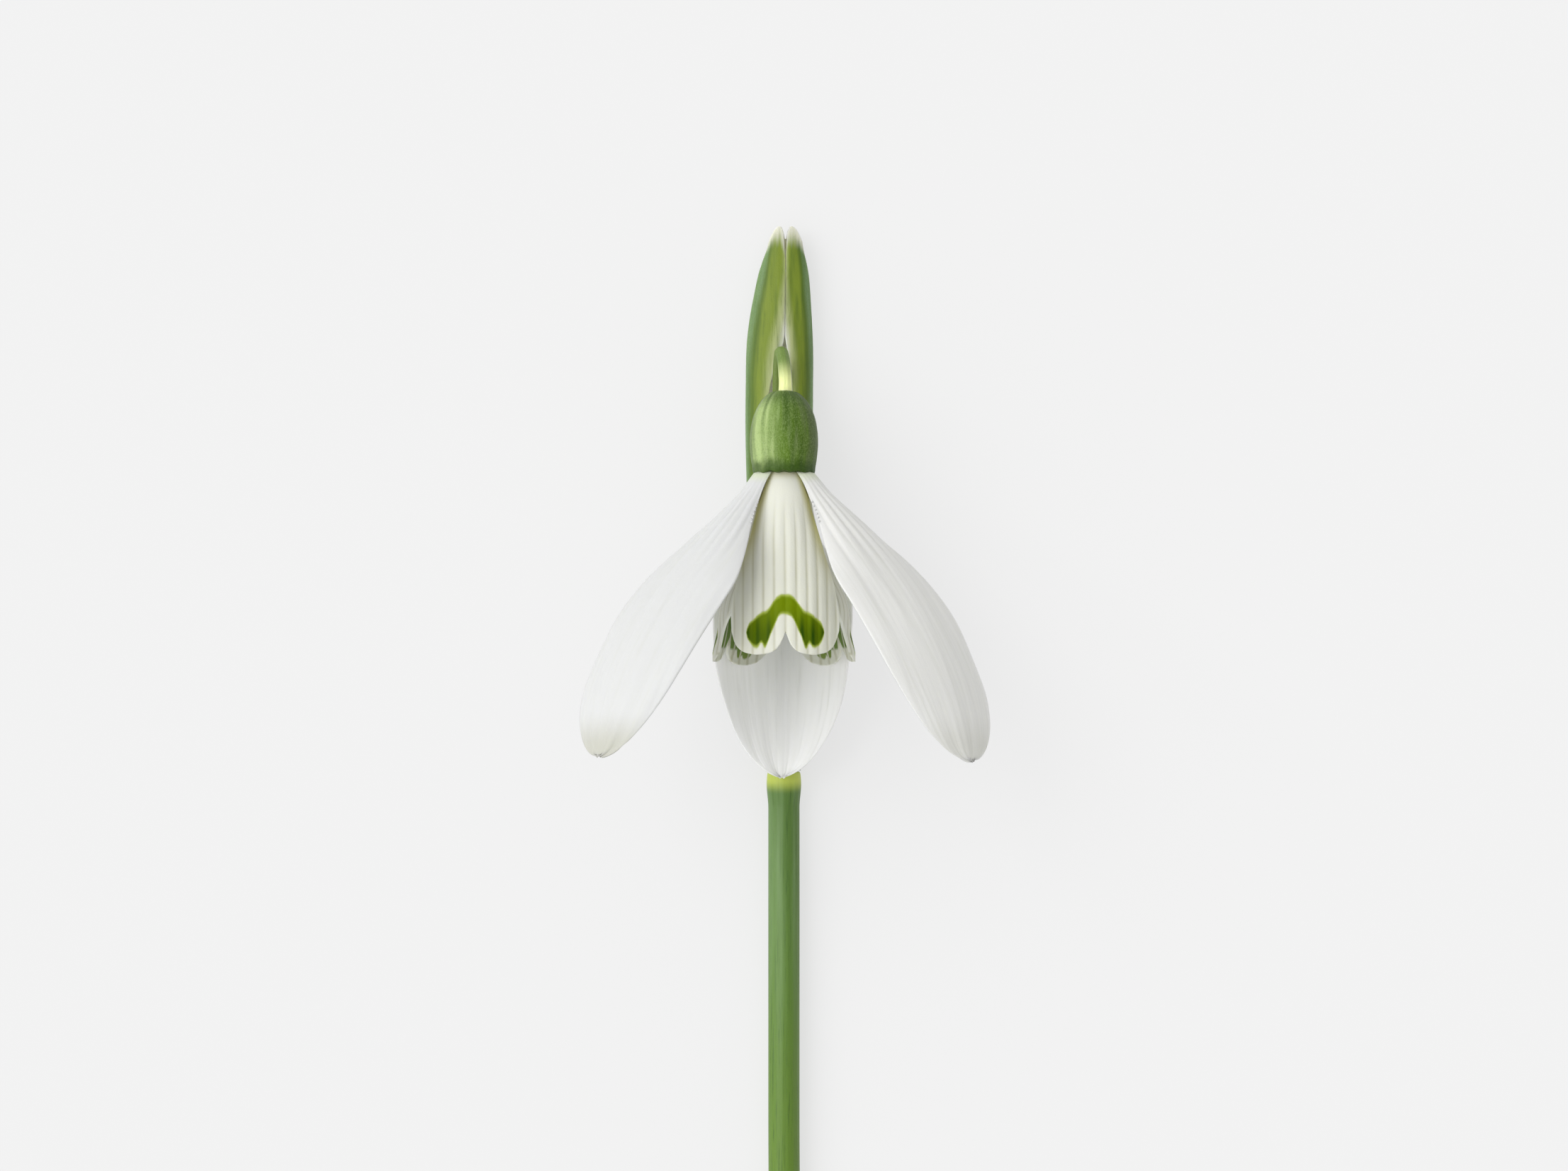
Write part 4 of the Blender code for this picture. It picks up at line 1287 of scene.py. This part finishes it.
@dataclass
class InnerTepal:
    """A ribbed inner petal with two rounded lobes and a cleft between them."""

    side_name: str
    turn: float
    push: float = 0.0
    tucked: int = 0
    flare: float = 0.0
    length: float = 13.25
    rim: Keys = (
        (0, 1.6), (0.04, 1.15), (0.095, 0.7), (0.2, 0.24), (0.38, 0.03), (0.62, 0.06), (0.8, 0.34), (0.9, 0.72),
        (0.96, 1.2), (1.0, 1.8),
    )
    start: float = -0.4
    wall: float = 0.26
    rib_width: float = 0.78
    radius: Keys = (
        (-0.4, 1.4), (0, 1.45), (1.5, 1.8), (3, 2.05), (4.5, 2.38), (6.45, 2.95), (7.65, 3.55), (8.65, 4.08), (9.95, 4.45),
        (11.2, 4.62), (12.65, 4.92),
    )
    half_width: Keys = (
        (-0.4, 1.05), (0, 1.08), (1.45, 1.5), (2.95, 1.97), (4.45, 2.38), (6.45, 2.96), (8.95, 3.6), (9.95, 3.74), (12.65, 3.7),
    )
    arc_radius: Keys = ((0, 1.9), (3, 2.8), (6.45, 4.6), (12.65, 5.4))
    seed: float = 0.0
    rows: int = 140
    columns: int = 171

    def surface(self) -> Surface:
        """Give the petal's outer face as a grid."""
        k = np.linspace(0, 1, self.rows)[:, None]
        w = np.linspace(-1, 1, self.columns)[None, :]
        reached = self.length - eased(np.abs(w), self.rim)
        down = self.start + (reached - self.start) * k
        arc = eased(down, self.arc_radius)
        under = np.clip(w * self.tucked, 0, 1)
        spare = 0.37 * smoothstep((down - 3) / 4) - 0.48 * smoothstep((down - 9.2) / 2.4)
        angle = w * np.arcsin(eased(down, self.half_width) / arc) * (1 + spare * under)
        pushed = self.push * smoothstep(down / 3) + self.flare * smoothstep((down - 10) / 3)
        out = eased(down, self.radius) + pushed - arc * (1 - np.cos(angle))
        tuck = 1 - 0.085 * smoothstep((under - 0.5) / 0.5)
        points = np.stack([arc * np.sin(angle) * tuck, out * tuck, down], -1)
        reach = arc * angle
        narrow = 1 - 0.22 * smoothstep((5.0 - down) / 5.0)
        values = {
            "along": down / self.length, "across": np.broadcast_to(w, down.shape),
            "rib": reach / (self.rib_width * narrow) + 0.5,
            "skin": np.stack([reach, down, reached - down], -1),
        }
        return Surface(points, values)

    def build(self, flower: Matrix, recipe: GeometryRecipe, material: bpy.types.Material) -> bpy.types.Object:
        """Build the petal.

        Args:
            flower: The flower's transform.
            recipe: The petal tree.
            material: The finish that the three inner petals share.

        Returns:
            The piece.
        """
        place = flower @ Matrix.Rotation(math.radians(-self.turn), 4, "Z")
        name = f"petal_inner_{self.side_name}"
        piece = recipe.apply(
            self.surface().base(name, place), name, material, Rib_Height=0.06, Rib_Start=0.1, Rib_End=1.08,
            Fold_Height=0.1, Fold_Density=0.8, Ripple_Height=0.03, Ripple_Waves=4.0, Wall=self.wall, Rim_Wall=0.16,
            Seed=self.seed,
        )
        seat(piece, "inner_petal_white", f"inner_tepal_{self.side_name}")
        return piece


@dataclass
class Stamen:
    """A stamen: a short filament and a narrow pointed anther of two grooved sacs."""

    number: int
    count: int = 6
    circle: float = 0.84
    profile: Keys = (
        (0.0, 0.12), (0.13, 0.12), (0.13, 0.95), (0.32, 1.25), (0.36, 2.1), (0.3, 3.6), (0.17, 5.0), (0.0, 6.0),
    )

    def build(self, flower: Matrix, recipe: GeometryRecipe, material: bpy.types.Material) -> bpy.types.Object:
        """Build the stamen.

        Args:
            flower: The flower's transform.
            recipe: The skin tree.
            material: The finish that the stamens share.

        Returns:
            The piece.
        """
        turn = 2 * math.pi * (self.number - 0.5) / self.count
        at = Vector((math.sin(turn), math.cos(turn), 0)) * self.circle * MM
        place = flower @ Matrix.Translation(at) @ Matrix.Rotation(-turn, 4, "Z")
        body = TurnedBody("stamen", self.profile[::-1], columns=36, rows=70, lobes=2.0, lobe_depth=0.26)
        base = body.surface().base("stamen_base", place @ Matrix.Rotation(math.pi / 2, 4, "Z"))
        piece = recipe.apply(
            base, f"pollen_stamen_{self.number}", material,
            Ridge_Height=0.0, Grain_Height=0.03, Grain_Density=9.0, Seed=float(self.number),
        )
        seat(piece, "anther_orange", f"stamen_{self.number}")
        return piece


@dataclass
class Style:
    """The slender style in the middle of the stamens."""

    profile: Keys = ((0.0, 0.12), (0.2, 0.12), (0.17, 2.0), (0.15, 6.0), (0.19, 7.4), (0.1, 8.2), (0.0, 8.5))

    def build(self, flower: Matrix, recipe: GeometryRecipe) -> bpy.types.Object:
        """Build the style with the skin tree, in the flower's frame, and return the piece."""
        body = TurnedBody("style", self.profile[::-1], columns=32, rows=60)
        base = body.surface().base("style_base", flower)
        piece = recipe.apply(base, "style_column", StyleFinish().material(), Ridge_Height=0.01, Ridge_Density=4.0)
        seat(piece, "style_green", "style")
        return piece


@dataclass
class Flower:
    """The ovary and all that hangs from it."""

    base: tuple[float, float, float] = (0.0, 21.3, 7.5)
    tilt: float = 6.0

    def outer_tepals(self) -> list[OuterTepal]:
        """List the three outer petals."""
        # One petal white in three copies, set apart by painted light: the sunlit left petal is painted darker, and the
        # back petal, in the cup's shadow, is painted lighter.
        left = OuterPetalFinish("outer_petal_white_left", tip_shade_share=0.85, white=(0.575, 0.58, 0.58))
        right = OuterPetalFinish("outer_petal_white_right", tip_shade_share=0.35, white=(0.69, 0.69, 0.67))
        back = OuterPetalFinish("outer_petal_white_back", shade_band_share=0.1, vein_share=0.35, white=(0.93, 0.93, 0.91))
        return [
            OuterTepal(
                "right", 60.0, 24.7, 41.3, 25.7, -70.5, 31.0, 7.3, 7.8, 0.70, 0.40, 1, 2.75, 0.46, right, teeth=-1.0, seed=0.31,
            ),
            OuterTepal(
                "left", -60.0, 24.3, 39.0, 29.5, -68.5, 28.5, 7.6, 8.6, 0.55, 0.28, -1, 2.7, 0.5, left, teeth=1.0, seed=0.67,
            ),
            OuterTepal(
                "back", 181.3, 21.6, 25.0, -32.0, 9.0, 34.0, 0.0, 0.0, 0.0, 0.0, 1, 2.4, 0.58, back, seed=0.12,
            ),
        ]

    def build(self, datum: Datum, petal: GeometryRecipe, skin: GeometryRecipe, papillae: GeometryRecipe) -> None:
        """Build every piece of the flower.

        Args:
            datum: Where the plant stands.
            petal: The tree for petals.
            skin: The tree for closed bodies.
            papillae: The tree for the claws' teeth.
        """
        flower = datum.flower(self.base, self.tilt)
        Ovary().build(flower, skin)
        for tepal in self.outer_tepals():
            tepal.build(flower, petal, papillae)
        cream = InnerPetalFinish().material()
        for tepal in (
            InnerTepal("front", 1.2, push=0.3, seed=0.2),
            InnerTepal("right", 121.0, tucked=-1, flare=0.12, seed=0.5),
            InnerTepal("left", -121.0, tucked=1, flare=0.12, seed=0.8),
        ):
            tepal.build(flower, petal, cream)
        orange = AntherFinish().material()
        for number in range(1, Stamen.count + 1):
            Stamen(number).build(flower, skin, orange)
        Style().build(flower, skin)


# ---------------------------------------------------------------- table, light and camera


@dataclass
class Studio:
    """A pale table under soft light from the upper left, and a camera straight above."""

    table_size: float = 12.0
    table_white: Colour = (0.2, 0.2, 0.2)
    table_glow: float = 0.652
    sky_strength: float = 0.9
    sky_slope: float = -0.5
    sky_dip: float = -0.05
    sun_strength: float = 1.5
    sun_spread: float = 46.0
    sun_from: tuple[float, float, float] = (-0.62, 0.3, 0.72)
    lens: float = 100.0
    sensor: float = 36.0
    picture: tuple[int, int] = (2213, 1652)
    picture_width: float = 110.65
    focus_height: float = 7.5
    aim: tuple[float, float] = (0.0, 13.4)

    def floor(self) -> None:
        """Lay the table."""
        s = Shading("table_white")
        grain = s.noise(s.place, 60.0, 2.0)
        colour = s.mix(s.math("MULTIPLY", grain, 0.15), self.table_white, tuple(c * 0.985 for c in self.table_white))
        material = s.close(
            colour, 0.9, Specular_IOR_Level=0.0, Emission_Color=(1.0, 1.0, 1.0, 1.0), Emission_Strength=self.table_glow
        )
        half = self.table_size / 2
        mesh = bpy.data.meshes.new("table")
        mesh.from_pydata([(-half, -half, 0), (half, -half, 0), (half, half, 0), (-half, half, 0)], [], [(0, 1, 2, 3)])
        mesh.materials.append(material)
        table = bpy.data.objects.new("table", mesh)
        table.location = (0, 0, CAD_BOX[0].z)
        bpy.context.scene.collection.objects.link(table)

    def light(self) -> None:
        """Light the table: an even pale sky, and one wide soft sun from the upper left."""
        world = bpy.data.worlds.new("sky")
        world.use_nodes = True
        s = Recipe(world.node_tree)
        aim = s.add("ShaderNodeSeparateXYZ", {0: s.add("ShaderNodeTexCoord").outputs["Generated"]})
        slope = s.math("MULTIPLY_ADD", aim.outputs[0], self.sky_slope, self.sky_dip)
        side = s.math("MULTIPLY", slope, s.rise(aim.outputs[2], 0.12, 0.5))
        background = world.node_tree.nodes["Background"]
        background.inputs["Color"].default_value = (1.0, 1.0, 1.0, 1.0)
        world.node_tree.links.new(s.math("ADD", side, self.sky_strength), background.inputs["Strength"])
        bpy.context.scene.world = world
        lamp = bpy.data.lights.new("sun", "SUN")
        lamp.energy = self.sun_strength
        lamp.angle = math.radians(self.sun_spread)
        sun = bpy.data.objects.new("sun", lamp)
        away = Vector(self.sun_from).normalized()
        sun.location = away
        sun.rotation_euler = away.to_track_quat("Z", "Y").to_euler()
        bpy.context.scene.collection.objects.link(sun)

    def camera(self, datum: Datum) -> None:
        """Hang the camera above the plant, with the top of its picture towards the sheath's tip."""
        data = bpy.data.cameras.new("camera")
        data.lens, data.sensor_width = self.lens, self.sensor
        data.clip_start, data.clip_end = 0.01, 20.0
        camera = bpy.data.objects.new("camera", data)
        rise = self.picture_width * self.lens / self.sensor + self.focus_height
        camera.location = Vector((datum.x, datum.y, datum.z)) + Vector((*self.aim, rise)) * MM
        bpy.context.scene.collection.objects.link(camera)
        bpy.context.scene.camera = camera

    def build(self, datum: Datum) -> None:
        """Set up the whole studio."""
        self.floor()
        self.light()
        self.camera(datum)
        bpy.context.scene.view_settings.view_transform = "Standard"
        bpy.context.scene.cycles.max_bounces = 12
        LOG.info("studio ready")


def main() -> None:
    """Build the plant piece by piece, then the studio."""
    logging.basicConfig(level=logging.INFO, format="%(name)s: %(message)s")
    datum = Datum.read()
    stalk, petal = stalk_recipe(), walled_petal_recipe()
    skin, papillae = ridged_skin_recipe(), papillae_recipe()
    Scape().build(datum, stalk)
    Spathe().build(datum, skin)
    Pedicel().build(datum, stalk)
    Flower().build(datum, petal, skin, papillae)
    Studio().build(datum)


if __name__ == "__main__":
    main()
